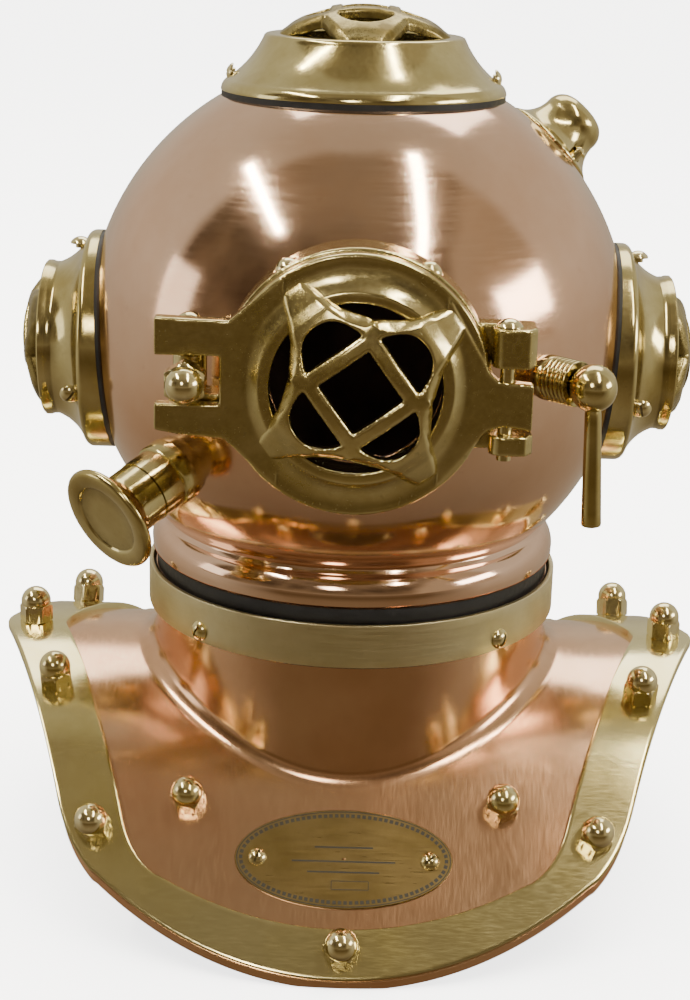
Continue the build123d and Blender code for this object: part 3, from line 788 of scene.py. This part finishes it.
def breastplateSheet():
    tops = [sheetColumn(a, bib["strap"]) for a in bibAngles]
    unders = [sheetColumn(a, bib["strap"] + bib["sheet"]) for a in bibAngles]
    rows = [list(row) for row in zip(*tops)] + [list(row) for row in reversed(list(zip(*unders)))]
    piece = gridLoop("breastplateSheet", rows, None, finish["sheetCopper"], 40)
    # the underside gets the dull brown black copper
    piece.data.materials.append(finish["darkCopper"])
    for polygon in piece.data.polygons:
        spot = polygon.center / mm
        radial = hypot(spot.x, spot.y)
        inNeck = spot.z > archHeight(spot.y, 0) + 0.5
        if inNeck:
            hidden = radial < bib["neck"] - 0.9
        else:
            hidden = spot.z < archHeight(spot.y, bib["strap"] + 0.6) - 0.2
        polygon.material_index = 1 if hidden else 0
    return keep(piece, "helmet", "copper_brushed", "breastplate")


def rimStrap():
    # flat strap with slightly rounded edges, following the arch
    soft = 0.35
    thick = bib["strap"]
    section = [(0, thick), (0, soft), (soft * 0.3, soft * 0.3), (soft, 0)]
    rows = []
    across = 20
    for angle in bibAngles:
        r0, r1 = innerReach(angle), outerReach(angle)
        width = r1 - r0
        line = []
        for inset, depth in section:
            line.append((r0 + inset, depth))
        line += [(r0 + soft + (width - 2 * soft) * i / across, 0) for i in range(1, across)]
        for inset, depth in reversed(section):
            line.append((r1 - inset, depth))
        column = []
        for r, depth in line:
            x, y = r * cos(angle), r * sin(angle)
            spot = Vector((x, y, archHeight(y))) - archNormal(y) * depth
            column.append((spot.x, y if abs(y) < 1 else spot.y, max(spot.z, 0.0)))
        rows.append(column)
    rows = [list(row) for row in zip(*rows)]
    piece = gridLoop("rimStrapBrass", rows, None, finish["strapBrass"], 32)
    return keep(piece, "helmet", "brass_polished", "rim_strap")


breastplateSheet()
rimStrap()
print("breastplate and strap made")

rimNutSpots = [(77.5, 0.0), (68.5, 27.0), (56.0, 57.5), (0.0, 75.6)]
bibNutSpots = [(35.3, 52.5)]


def mirroredSpots(spots):
    return sorted({(a * x, b * y) for x, y in spots for a in (-1, 1) for b in (-1, 1)})


def nutPlaces(spots, depth):
    places = []
    for i, (x, y) in enumerate(mirroredSpots(spots)):
        out = archNormal(y)
        foot = Vector((x, y, archHeight(y))) - out * depth
        places.append((foot, out, 0.35 * ((i * 7) % 5)))
    return places


placed("rimNuts", nutTemplate, nutPlaces(rimNutSpots, 0.0), finish["nutBrass"], "helmet",
       "brass_bright", ("rim_nuts",), 28)
placed("bibNuts", nutTemplate, nutPlaces(bibNutSpots, bib["strap"]), finish["nutBrass"], "helmet",
       "brass_bright", ("bib_nuts",), 28)

# oval plate
plate = {
    "y": -61.5, "halfWidth": 24.2, "halfHeight": 11.2, "wall": 0.6, "screwX": 19.2,
    "dotInset": 1.35, "dots": 86, "dotSize": 0.78, "lineInset": 0.35,
}
plateOut = archNormal(plate["y"])
plateFoot = Vector((0, plate["y"], archHeight(plate["y"]))) - plateOut * bib["strap"]
platePlace = standing(plateFoot, plateOut)


def ovalPlate():
    w, h, wall = plate["halfWidth"], plate["halfHeight"], plate["wall"]
    levels = [(0.0, 0.0), (0.0, wall - 0.15), (0.15, wall)]
    rows = []
    for inset, height in levels:
        rows.append([((w - inset) * cos(a), (h - inset) * sin(a), height) for a in bibAngles])
    for share in (0.8, 0.6, 0.4, 0.2, 0.02):
        rows.append([((w - 0.15) * share * cos(a), (h - 0.15) * share * sin(a), wall) for a in bibAngles])
    rows.append([((w - 0.15) * 0.02 * cos(a), (h - 0.15) * 0.02 * sin(a), 0.0) for a in bibAngles])
    piece = gridLoop("ovalPlate", rows, platePlace, finish["plateBrass"], 30)
    return keep(piece, "helmet", "brass_plate", "name_plate")


def inkBar(x0, y0, x1, y1, width):
    # a thin raised bar of filler from one point to another on the plate
    run = Vector((x1 - x0, y1 - y0)).normalized()
    side = Vector((-run.y, run.x)) * width / 2
    low, high = plate["wall"] - 0.02, plate["wall"] + 0.03
    base = [(x0 + side.x, y0 + side.y), (x1 + side.x, y1 + side.y),
            (x1 - side.x, y1 - side.y), (x0 - side.x, y0 - side.y)]
    return [(x, y, low) for x, y in base] + [(x, y, high) for x, y in base]


def plateLines():
    # in place of any wording: plain ruled lines and an empty box
    bars = []
    for y, half in ((2.6, 6.5), (-0.6, 11.5), (-3.0, 8.0)):
        bars.append(inkBar(-half, y, half, y, 0.35))
    box = {"low": -6.9, "high": -5.0, "left": -2.6, "right": 5.6, "line": 0.16}
    bars.append(inkBar(box["left"], box["low"], box["right"], box["low"], box["line"]))
    bars.append(inkBar(box["left"], box["high"], box["right"], box["high"], box["line"]))
    bars.append(inkBar(box["left"], box["low"], box["left"], box["high"], box["line"]))
    bars.append(inkBar(box["right"], box["low"], box["right"], box["high"], box["line"]))
    corners, faces = [], []
    for bar in bars:
        n = len(corners)
        corners += bar
        faces += [(n, n + 1, n + 5, n + 4), (n + 1, n + 2, n + 6, n + 5), (n + 2, n + 3, n + 7, n + 6),
                  (n + 3, n, n + 4, n + 7), (n + 4, n + 5, n + 6, n + 7), (n + 3, n + 2, n + 1, n)]
    lines = meshObject("plateLines", corners, faces, platePlace, finish["blackFill"])
    return keep(lines, "helmet", "brass_plate")


def plateRim():
    # fine black line near the plate's edge
    w, h = plate["halfWidth"] - plate["lineInset"], plate["halfHeight"] - plate["lineInset"]
    wall = plate["wall"]
    rows = []
    for inset, height in ((0, wall - 0.02), (0, wall + 0.03), (0.22, wall + 0.03), (0.22, wall - 0.02)):
        rows.append([((w - inset) * cos(a), (h - inset) * sin(a), height) for a in bibAngles])
    ring = gridLoop("plateRim", rows, platePlace, finish["blackFill"], 30)
    return keep(ring, "helmet", "brass_plate")


def plateDots():
    half = plate["dotSize"] / 2
    box = [(x, y, z) for x in (-half, half) for y in (-half, half) for z in (-0.02, 0.03)]
    sides = [(0, 1, 3, 2), (4, 6, 7, 5), (0, 4, 5, 1), (2, 3, 7, 6), (0, 2, 6, 4), (1, 5, 7, 3)]
    dot = meshObject("dotTemplate", box, sides)
    w, h = plate["halfWidth"] - plate["dotInset"], plate["halfHeight"] - plate["dotInset"]
    # equal steps along the oval
    fine = [(w * cos(2 * pi * i / 2000), h * sin(2 * pi * i / 2000)) for i in range(2001)]
    lengths = [0.0]
    for a, b in zip(fine, fine[1:]):
        lengths.append(lengths[-1] + hypot(b[0] - a[0], b[1] - a[1]))
    places, k = [], 0
    for n in range(plate["dots"]):
        target = lengths[-1] * n / plate["dots"]
        while lengths[k + 1] < target:
            k += 1
        x, y = fine[k]
        lean = atan2(y * w / h, x * h / w)
        places.append(((x, y, plate["wall"]), (0, 0, 1), lean))
    dots = placed("plateDots", dot, localPlaces(platePlace, places), finish["blackFill"],
                  "helmet", "brass_plate")
    bpy.data.objects.remove(dot)
    return dots


ovalPlate()
plateLines()
plateRim()
plateDots()
plateScrews = []
for side, spin in ((-1, 1.2), (1, 0.7)):
    plateScrews.append(((side * plate["screwX"], 0, plate["wall"]), (0, 0, 1), spin))
placed("plateScrews", smallScrewTemplate, localPlaces(platePlace, plateScrews), finish["nutBrass"], "helmet",
       "brass_bright", ("name_plate_screws",), 30)
print("plate made")

# collar
collar = {"outer": 49.2, "wall": 1.2, "low": 62.2, "top": 72.3, "screwHeight": 64.9, "screwAngle": 44.0}


def collarBand():
    outer, inner = collar["outer"], collar["outer"] - collar["wall"]
    outline = [(outer, collar["low"]), (outer, collar["top"]), (inner, collar["top"]), (inner, collar["low"])]
    outline = densified(softened(outline, 0.35), 2.0)
    piece = turnedMesh("collarBandBrass", outline, helmet["steps"], None, finish["bandBrass"])
    return keep(piece, "helmet", "brass_brushed", "collar_band")


def bandLiner():
    # painted shade: a black strip put in the shadowed gap between the band and the neck, drawn in the black
    # rubber finish
    gapShade = {"inner": 47.45, "outer": 47.95, "low": 61.7, "top": 70.0}
    outline = [(gapShade["outer"], gapShade["low"]), (gapShade["outer"], gapShade["top"]),
               (gapShade["inner"], gapShade["top"]), (gapShade["inner"], gapShade["low"])]
    strip = turnedMesh("bandLiner", outline, helmet["steps"], None, finish["blackRubberAndGapShade"])
    return keep(strip, "helmet", "black_seal")


collarBand()
bandLiner()
collarScrewPlaces = []
for base in (-90, 90):
    for side in (-1, 1):
        a = radians(base + side * collar["screwAngle"])
        out = Vector((cos(a), sin(a), 0))
        foot = out * collar["outer"] + Vector((0, 0, collar["screwHeight"]))
        collarScrewPlaces.append((foot, out, 0.8 * side + base))
placed("collarScrews", screwTemplate, collarScrewPlaces, finish["nutBrass"], "helmet", "brass_bright",
       ("collar_screws",), 30)

# bonnet
bonnet = {
    "endHeight": 84.0, "waist": (45.6, 83.0), "rollMiddle": (47.7, 80.6), "roll": (48.3, 77.5),
    "rollEnd": 75.5, "neck": 45.6, "neckLow": 72.0, "frontHole": 18.0, "sideHole": 15.5, "topHole": 18.5,
}
centre = Vector(helmet["centre"])
frontPlace = standing((0, 0, helmet["frontHeight"]), (0, -1, 0))
leftPlace = standing((0, 0, helmet["sideHeight"]), (-1, 0, 0))
rightPlace = standing((0, 0, helmet["sideHeight"]), (1, 0, 0))
topPlace = standing(centre, (0, 0, 1))


def bonnetShell():
    r, wall, cz = helmet["sphere"], helmet["wall"], helmet["centre"][2]
    low = asin((bonnet["endHeight"] - cz) / r)
    outer = [(r * cos(t), cz + r * sin(t)) for t in [low + (pi / 2 - low) * i / 110 for i in range(111)]]
    outer[-1] = (0.0, cz + r)
    inside = r - wall
    innerLow = -acos((bonnet["neck"] - wall) / inside)
    innerTurns = [pi / 2 + (innerLow - pi / 2) * i / 60 for i in range(61)]
    inner = [(inside * cos(t), cz + inside * sin(t)) for t in innerTurns]
    inner[0] = (0.0, cz + inside)
    lip = arcThrough(bonnet["roll"], bonnet["rollMiddle"], bonnet["waist"], 16)
    under = [(bonnet["neck"] - wall, bonnet["neckLow"]), (bonnet["neck"], bonnet["neckLow"]),
             (bonnet["neck"], bonnet["rollEnd"]), (bonnet["roll"][0] - 0.7, bonnet["rollEnd"]),
             (bonnet["roll"][0], bonnet["rollEnd"] + 0.9)]
    outline = outer + inner + softened(under, 0.2, 2, 40) + lip
    shell = turnedMesh("bonnetCopper", outline, helmet["steps"], None, finish["spunCopper"], None, 50)
    cutBy(shell, [
        cylinderMesh("frontCutter", bonnet["frontHole"], 30, 90, frontPlace),
        cylinderMesh("leftCutter", bonnet["sideHole"], 30, 90, leftPlace),
        cylinderMesh("rightCutter", bonnet["sideHole"], 30, 90, rightPlace),
        cylinderMesh("topCutter", bonnet["topHole"], 30, 90, topPlace),
    ])
    shell.data.materials.clear()
    shell.data.materials.append(finish["spunCopper"])
    shell.data.materials.append(finish["darkCopper"])
    for polygon in shell.data.polygons:
        spot = polygon.center / mm
        inSphere = (spot - centre).length < r - 0.5 * wall
        inNeck = hypot(spot.x, spot.y) < bonnet["neck"] - 0.5 * wall
        polygon.material_index = 1 if inSphere and (spot.z > bonnet["endHeight"] or inNeck) else 0
    return keep(shell, "helmet", "copper_polished", "bonnet")


bonnetShell()
print("bonnet made")


# windows
def onSphere(place, radius, seat):
    # height along the window's axis where a circle of this radius meets a sphere about the centre
    back = place.inverted() @ centre

    def heightAt(angle):
        x, y = radius * cos(angle) - back.x, radius * sin(angle) - back.y
        return back.z + sqrt(seat * seat - x * x - y * y)
    return heightAt


def flangeMesh(name, place, outline, foot, seat, material, nodes):
    # turned flange whose foot follows the bonnet; outline runs from the foot's edge to its hole
    outer = onSphere(place, outline[0][0], seat)
    inner = onSphere(place, foot, seat)
    rows = []
    steps = helmet["steps"]
    angles = [2 * pi * i / steps for i in range(steps)]
    rows.append([(outline[0][0] * cos(a), outline[0][0] * sin(a), outer(a)) for a in angles])
    for radius, height in outline:
        rows.append([(radius * cos(a), radius * sin(a), max(height, outer(a) + 0.05)) for a in angles])
    rows.append([(foot * cos(a), foot * sin(a), inner(a)) for a in angles])
    piece = gridLoop(name, rows, place, material, 34)
    return keep(piece, "helmet", "brass_cast", *nodes)


sideGuard = {
    "outline": [(8.2, 8.2), (10.0, 7.4), (13.6, 5.6), (16.3, 4.0), (17.4, 3.1)],
    "bars": (4.9, 7.0), "opening": 5.2, "rise": 5.6, "wall": 2.4, "widen": 0.25,
    "soft": 0.4, "shoulder": 1.2, "foot": (14.0, 2.0), "footDrop": 0.3,
}
sideWindow = {
    "edge": 25.5, "hole": 15.5, "face": 73.0, "seal": 0.7,
    "screwOut": 64.9, "screwRadius": 22.5, "screwAngles": (90, 90 - 112, 90 + 112),
}


def sideOutline():
    s = sideWindow
    outline = [(s["edge"], 60.6), (s["edge"], 61.4)]
    outline += arcThrough((s["edge"], 61.4), (25.2, 62.4), (24.2, 63.1), 6)[1:]
    outline += arcThrough((24.2, 63.1), (20.3, 66.0), (17.9, 70.0), 20)[1:]
    outline += [(17.95, 71.2), (18.2, 71.8), (18.2, 72.7), (17.9, 73.0), (15.9, 73.0), (15.5, 72.6)]
    outline.append((15.5, 68.0))
    return outline


for name, place in (("left", leftPlace), ("right", rightPlace)):
    flangeMesh(name + "FlangeBrass", place, sideOutline(), sideWindow["hole"],
               helmet["sphere"] + sideWindow["seal"], finish["flangeBrass"], (name + "_flange",))
    spots = []
    for k, degree in enumerate(sideWindow["screwAngles"]):
        a = radians(degree)
        out = (cos(a), sin(a), 0)
        r = sideWindow["screwRadius"]
        spots.append(((r * out[0], r * out[1], sideWindow["screwOut"]), out, 0.9 * k))
    placed(name + "Screws", screwTemplate, localPlaces(place, spots), finish["nutBrass"], "helmet",
           "brass_bright", (name + "_screws",), 30)
    seated = place @ Matrix.Translation((0, 0, sideWindow["face"]))
    castFromNode(name + "_grille", finish["guardBrass"], 0.26, 2, "helmet", "brass_cast",
                 guardShape(seated, 36, sideGuard))
    print(name, "window made")

topWindow = {"edge": 32.4, "hole": 18.5, "seal": 1.2, "screwOut": 58.8, "screwRadius": 29.9}


def topOutline():
    outline = [(32.4, 55.0), (32.4, 55.6)]
    outline += arcThrough((32.4, 55.6), (31.9, 57.0), (30.8, 57.9), 6)[1:]
    outline += arcThrough((30.8, 57.9), (25.7, 62.6), (22.9, 67.0), 20)[1:]
    outline += arcThrough((22.9, 67.0), (22.6, 67.6), (22.0, 67.9), 4)[1:]
    outline += [(18.9, 67.9), (18.5, 67.5), (18.5, 63.0)]
    return outline


flangeMesh("topFlangeBrass", topPlace, topOutline(), topWindow["hole"], helmet["sphere"] + topWindow["seal"],
           finish["flangeBrass"], ("top_flange",))
topSpots = []
for k in range(3):
    a = pi / 2 * k
    r = topWindow["screwRadius"]
    topSpots.append(((r * cos(a), r * sin(a), topWindow["screwOut"]), (cos(a), sin(a), 0.12), 0.7 * k))
placed("topScrews", smallScrewTemplate, localPlaces(topPlace, topSpots), finish["nutBrass"], "helmet",
       "brass_bright", ("top_screws",), 30)
topGuard = {
    "outline": [(9.4, 9.4), (11.6, 8.4), (15.6, 6.8), (18.7, 5.0), (19.8, 4.1)],
    "bars": (5.3, 7.7), "opening": 6.2, "rise": 7.1, "wall": 2.4, "widen": 0.25,
    "soft": 0.4, "shoulder": 1.2, "foot": (16.0, 2.0), "footDrop": 0.2,
}
castFromNode("top_grille", finish["guardBrass"], 0.26, 2, "helmet", "brass_cast",
             guardShape(topPlace @ Matrix.Translation((0, 0, 67.9)), 0, topGuard))
print("top window made")

# front window
castFromNode("front_frame", finish["castBrass"], 0.32, 5, "helmet", "brass_cast")
castFromNode("front_door", finish["castBrass"], 0.28, 14, "door", "brass_cast")
frontGuard = {
    "outline": [(9.9, 9.9), (12.0, 8.6), (18.1, 5.5), (23.8, 3.3), (24.9, 2.4)],
    "bars": (6.5, 8.8), "opening": 6.9, "rise": 7.6, "wall": 2.6, "widen": 0.5,
    "soft": 0.5, "shoulder": 1.8, "foot": (17.0, 3.0), "footDrop": 0.7,
}
castFromNode("front_grille", finish["castBrass"], 0.24, 5, "door", "brass_cast",
             guardShape(frontPlace @ Matrix.Translation((1.0, 0.4, 70.7)), 36, frontGuard))
frameSpots = []
for k, degree in enumerate((57, 123, 239, 301)):
    a = radians(degree)
    frameSpots.append(((27.1 * cos(a), 27.1 * sin(a), 62.3), (cos(a), sin(a), 0), 0.8 * k))
placed("frontFrameScrews", screwTemplate, localPlaces(frontPlace, frameSpots), finish["nutBrass"], "helmet",
       "brass_bright", ("front_frame_screws",), 30)

# fittings
fittings = {
    "spigot": (-0.625, -0.69, -0.36),
    "valve": (0.65, -0.76, 0.02),
}
spigotPlace = standing(centre, fittings["spigot"])
valvePlace = standing(centre, fittings["valve"])


def spigotBarrel():
    outline = [(7.6, 61.6), (7.6, 65.9), (7.45, 66.2), (7.1, 66.4), (7.1, 71.9), (6.4, 72.0)]
    outline += [(0, 72.0), (0, 61.6)]
    piece = turnedMesh("spigotBarrelBrass", densified(outline, 3.0), 96, spigotPlace, finish["flangeBrass"])
    return keep(piece, "helmet", "brass_polished", "spigot_barrel")


def spigotDisc():
    outline = [(0, 72.0), (6.7, 72.05), (7.0, 72.25), (7.0, 77.0)]
    outline += arcThrough((7.0, 77.0), (8.4, 80.4), (11.5, 81.4), 10)[1:]
    outline += arcThrough((11.5, 81.4), (12.0, 82.4), (11.3, 83.4), 6)[1:]
    outline += [(10.9, 83.5), (8.5, 83.45), (8.1, 83.25), (7.8, 82.9), (7.2, 82.8), (4.0, 82.85), (0, 82.9)]
    piece = turnedMesh("spigotDiscBrass", outline, 128, spigotPlace, finish["flangeBrass"])
    return keep(piece, "helmet", "brass_polished", "spigot_disc")


def valveBarrel():
    outline = [(0, 61.5), (4.9, 61.5), (4.9, 63.8)]
    for step in (64.4, 65.6, 66.8, 68.0, 69.2, 70.4):
        outline += arcThrough((4.55, step), (4.9, step + 0.5), (4.55, step + 1.0), 5)
    outline += [(4.7, 71.4), (2.6, 71.4), (2.6, 68.0), (0, 68.0)]
    piece = turnedMesh("valveBarrelBrass", outline, 96, valvePlace, finish["flangeBrass"])
    return keep(piece, "helmet", "brass_polished", "valve_barrel")


def valveBall():
    middle, r, low = 75.6, 5.0, 71.75
    start = asin((low - middle) / r)
    outline = [(0, 68.4), (2.4, 68.4), (2.4, low)]
    turns = [start + (pi / 2 - start) * i / 28 for i in range(29)]
    outline += [(r * cos(t), middle + r * sin(t)) for t in turns]
    outline[-1] = (0, middle + r)
    piece = turnedMesh("valveBallBrass", outline, 96, valvePlace, finish["flangeBrass"])
    return keep(piece, "lever", "brass_polished", "valve_ball")


def valveLever():
    out = Vector(fittings["valve"]).normalized()
    place = standing(centre + out * 75.6, (0.049, 0.042, -1), (1, 0, 0))
    outline = [(0, 4.0), (1.5, 4.0), (1.62, 4.9), (1.75, 5.4), (2.15, 29.9), (2.05, 30.2), (1.85, 30.3)]
    outline.append((0, 30.3))
    piece = turnedMesh("valveLeverBrass", densified(outline, 2.5), 64, place, finish["flangeBrass"])
    return keep(piece, "lever", "brass_polished", "valve_lever")


spigotBarrel()
spigotDisc()
valveBarrel()
valveBall()
valveLever()
castFromNode("exhaust_cap", finish["flangeBrass"], 0.25, 10, "helmet", "brass_cast")

# latch and hinge
latch = {"x": -34.0, "y": -61.5, "z": 132.2, "nutSeat": 9.4}
latchPlace = standing((latch["x"], latch["y"], latch["z"]), (0, -1, 0))
nutPlace = localPlaces(latchPlace, [((0, 0, latch["nutSeat"]), (0, 0, 1), pi / 6)])
placed("latchNut", latchNutTemplate, nutPlace, finish["nutBrass"], "latch_nut", "brass_bright",
       ("latch_nut",), 28)


def headAndShank(name, size, spot, spin, body, slotName, node):
    screw = slottedScrew(name + "Template", size)
    done = placed(name, screw, [(spot, (0, 0, 1), spin)], finish["nutBrass"], body, slotName, (node,), 30)
    bpy.data.objects.remove(screw)
    return done


hingeSize = {"head": 2.7, "height": 1.8, "stem": 1.5, "shank": 27.4, "slot": 0.6, "slotDepth": 0.8}
pinSize = {"head": 2.7, "height": 1.7, "stem": 1.5, "shank": 19.0, "slot": 0.55, "slotDepth": 0.7}
headAndShank("hingeScrew", hingeSize, (30.3, -68.7, 144.3), 0.5, "helmet", "brass_bright", "hinge_screw")
headAndShank("latchPin", pinSize, (-34.0, -61.5, 142.6), -0.3, "helmet", "brass_bright", "latch_pin")
castFromNode("latch_bolt", finish["nutBrass"], 0.2, 3, "latch", "brass_bright")

for template in (nutTemplate, latchNutTemplate, screwTemplate, smallScrewTemplate):
    bpy.data.objects.remove(template)

# parts whose own shape is right: they keep it and get a finish
for node in ("rim_studs", "bib_studs", "exhaust_cap_screw"):
    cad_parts[node].data.materials.clear()
    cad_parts[node].data.materials.append(finish["nutBrass"])
for node in ("collar_seal", "top_seal", "left_seal", "right_seal", "front_seal"):
    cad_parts[node].data.materials.clear()
    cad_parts[node].data.materials.append(finish["blackRubberAndGapShade"])
print("fittings made")

# floor, light and camera
studio = {
    "floor": "#f6f5f2", "floorHalf": 14.0, "floorGlow": 3.0,
    "camera": {"back": 0.441, "height": 0.2234, "pitch": 17.3, "roll": 1.5, "focal": 68.6, "shiftX": -0.008},
}


def paleFloor():
    half = studio["floorHalf"]
    mesh = bpy.data.meshes.new("paleFloor")
    corners = [(-half, -half, 0), (half, -half, 0), (half, half, 0), (-half, half, 0)]
    mesh.from_pydata(corners, [], [(0, 1, 2, 3)])
    material, tree, shader, coords = newMaterial("pale studio floor")
    grain = noiseOf(tree, coords, 40.0, 4.0, 0.5)
    tree.links.new(blended(tree, grain, tint(studio["floor"]), tint("#f2f1ee")), shader.inputs["Base Color"])
    shader.inputs["Roughness"].default_value = 0.7
    shader.inputs["Emission Color"].default_value = (1.0, 1.0, 1.0, 1.0)
    shader.inputs["Emission Strength"].default_value = studio["floorGlow"]
    mesh.materials.append(material)
    floor = bpy.data.objects.new("paleFloor", mesh)
    bpy.context.scene.collection.objects.link(floor)
    floor.location.z = -0.0002
    # the metal mirrors the darker room below the horizon instead of the bare floor
    floor.visible_glossy = False


def rampOf(tree, value, stops):
    node = addNode(tree, "ShaderNodeValToRGB", {}, {"Fac": value})
    ramp = node.color_ramp
    while len(ramp.elements) < len(stops):
        ramp.elements.new(0.5)
    for element, (position, code) in zip(ramp.elements, stops):
        element.position = position
        element.color = tint(code)
    return node.outputs[0]


# what the metal mirrors: tones by height, from straight down at 0 to straight up at 1
surroundings = {
    "room": [(0.50, "#8f846f"), (0.54, "#6a5d48"), (0.66, "#463b2c"), (0.82, "#584d3b"), (0.95, "#857a66")],
    "backdrop": [(0.50, "#bdb6a6"), (0.62, "#cfc9ba"), (0.85, "#c6bfae"), (1.0, "#aca492")],
    "tableFront": [(0.0, "#8a7c66"), (0.25, "#74654e"), (0.40, "#56472f"), (0.49, "#6d5e48")],
    "tableSide": [(0.0, "#5a4c3a"), (0.18, "#8b7f6b"), (0.36, "#aea592"), (0.49, "#bab2a1")],
    "clutter": "#8a7b62", "litWall": "#b3a68e", "mirrored": 1.15, "seen": 6.0,
}


def studioWorld():
    # white to the camera; the metal mirrors a pale backdrop behind, a dim brown room in front
    # and a warm table below
    world = bpy.data.worlds.new("studio")
    bpy.context.scene.world = world
    world.use_nodes = True
    tree = world.node_tree
    tree.nodes.clear()
    way = addNode(tree, "ShaderNodeTexCoord").outputs["Generated"]
    parts = addNode(tree, "ShaderNodeSeparateXYZ", {}, {"Vector": way})
    height = remapped(tree, parts.outputs["Z"], -1.0, 1.0, 0.0, 1.0)
    room, backdrop, tableFront, tableSide = [
        rampOf(tree, height, surroundings[key]) for key in ("room", "backdrop", "tableFront", "tableSide")]
    clutter = noiseOf(tree, scaled(tree, way, (3.0, 3.0, 0.8)), 1.6, 4.0, 0.6)
    ragged = sumOf(tree, parts.outputs["Y"], sumOf(tree, clutter, 0.10, "MULTIPLY"), "SUBTRACT")
    front = remapped(tree, ragged, -0.10, -0.02, 1.0, 0.0)
    room = blended(tree, remapped(tree, clutter, 0.42, 0.62, 0.0, 0.45), room, tint(surroundings["clutter"]))
    # a lit wall at the right of the room
    wall = remapped(tree, sumOf(tree, parts.outputs["X"], sumOf(tree, clutter, 0.2, "MULTIPLY"), "SUBTRACT"),
                    0.42, 0.52, 0.0, 0.8)
    room = blended(tree, wall, room, tint(surroundings["litWall"]))
    upper = blended(tree, front, backdrop, room)
    near = remapped(tree, parts.outputs["Y"], -0.75, -0.15, 1.0, 0.0)
    table = blended(tree, near, tableSide, tableFront)
    level = remapped(tree, parts.outputs["Z"], -0.01, 0.01, 0.0, 1.0)
    around = blended(tree, level, table, upper)
    felt = addNode(tree, "ShaderNodeBackground", {}, {"Color": around, "Strength": surroundings["mirrored"]})
    seen = addNode(tree, "ShaderNodeBackground", {},
                   {"Color": tint("#ffffff"), "Strength": surroundings["seen"]})
    camera = addNode(tree, "ShaderNodeLightPath").outputs["Is Camera Ray"]
    mix = addNode(tree, "ShaderNodeMixShader", {}, {0: camera, 1: felt.outputs[0], 2: seen.outputs[0]})
    out = addNode(tree, "ShaderNodeOutputWorld")
    tree.links.new(mix.outputs[0], out.inputs["Surface"])


def softLight(name, place, aim, size, power, colour, spin):
    lamp = bpy.data.lights.new(name, "AREA")
    lamp.shape = "RECTANGLE"
    lamp.size, lamp.size_y = size
    lamp.energy = power
    lamp.color = tint(colour)[:3]
    lampObject = bpy.data.objects.new(name, lamp)
    bpy.context.scene.collection.objects.link(lampObject)
    lampObject.location = place
    # faces the aim, its long side along Y, then turned by spin
    back = (Vector(place) - Vector(aim)).normalized()
    along = Vector((sin(radians(spin)), -cos(radians(spin)), 0))
    across = along.cross(back).normalized()
    turn = Matrix((across, back.cross(across), back)).transposed()
    lampObject.rotation_euler = turn.to_euler()


# place, size, power in watts, colour and turn of each lamp; all of them face the aim
lamps = {
    "aim": (0, 0, 0.12), "skyPower": 9.0, "skySpread": radians(70),
    "ceilingTubeLeft": ((-0.70, -0.27, 1.13), (0.05, 0.80), 9.0, "#fff6e0", 0),
    "ceilingTubeRight": ((0.42, -0.44, 1.13), (0.07, 1.00), 9.0, "#fff6e0", 17),
    "leftSoftbox": ((-1.05, -0.16, 0.34), (0.40, 0.34), 0.9, "#fff8ea", 0),
    "rightSoftbox": ((1.05, -0.30, 0.42), (0.26, 0.50), 5.0, "#fff8ea", 0),
    "frontFill": ((-0.25, -1.30, 0.75), (0.22, 0.30), 3.0, "#fff4dc", 0),
    "highSoftbox": ((0.1, 0.9, 1.3), (1.2, 0.8), 12.0, "#fffaf0", 0),
}


def studioLights():
    for name, lamp in lamps.items():
        if name in ("aim", "skyPower", "skySpread"):
            continue
        place, size, power, colour, spin = lamp
        softLight(name, place, lamps["aim"], size, power, colour, spin)
    # even light for the floor only: no reflection of it in the metal
    sky = bpy.data.lights.new("evenSky", "SUN")
    sky.energy = lamps["skyPower"]
    sky.angle = lamps["skySpread"]
    skyObject = bpy.data.objects.new("evenSky", sky)
    bpy.context.scene.collection.objects.link(skyObject)
    skyObject.visible_glossy = False


def studioCamera():
    c = studio["camera"]
    data = bpy.data.cameras.new("camera")
    data.sensor_fit = "VERTICAL"
    data.sensor_height = 36.0
    data.lens = c["focal"]
    data.shift_x = c["shiftX"]
    data.clip_start = 0.01
    camera = bpy.data.objects.new("camera", data)
    bpy.context.scene.collection.objects.link(camera)
    turn = Matrix.Rotation(radians(90 - c["pitch"]), 4, "X") @ Matrix.Rotation(radians(c["roll"]), 4, "Z")
    camera.matrix_world = Matrix.Translation((0, -c["back"], c["height"])) @ turn
    bpy.context.scene.camera = camera


paleFloor()
studioWorld()
studioLights()
studioCamera()
print("stage, lights and camera set")
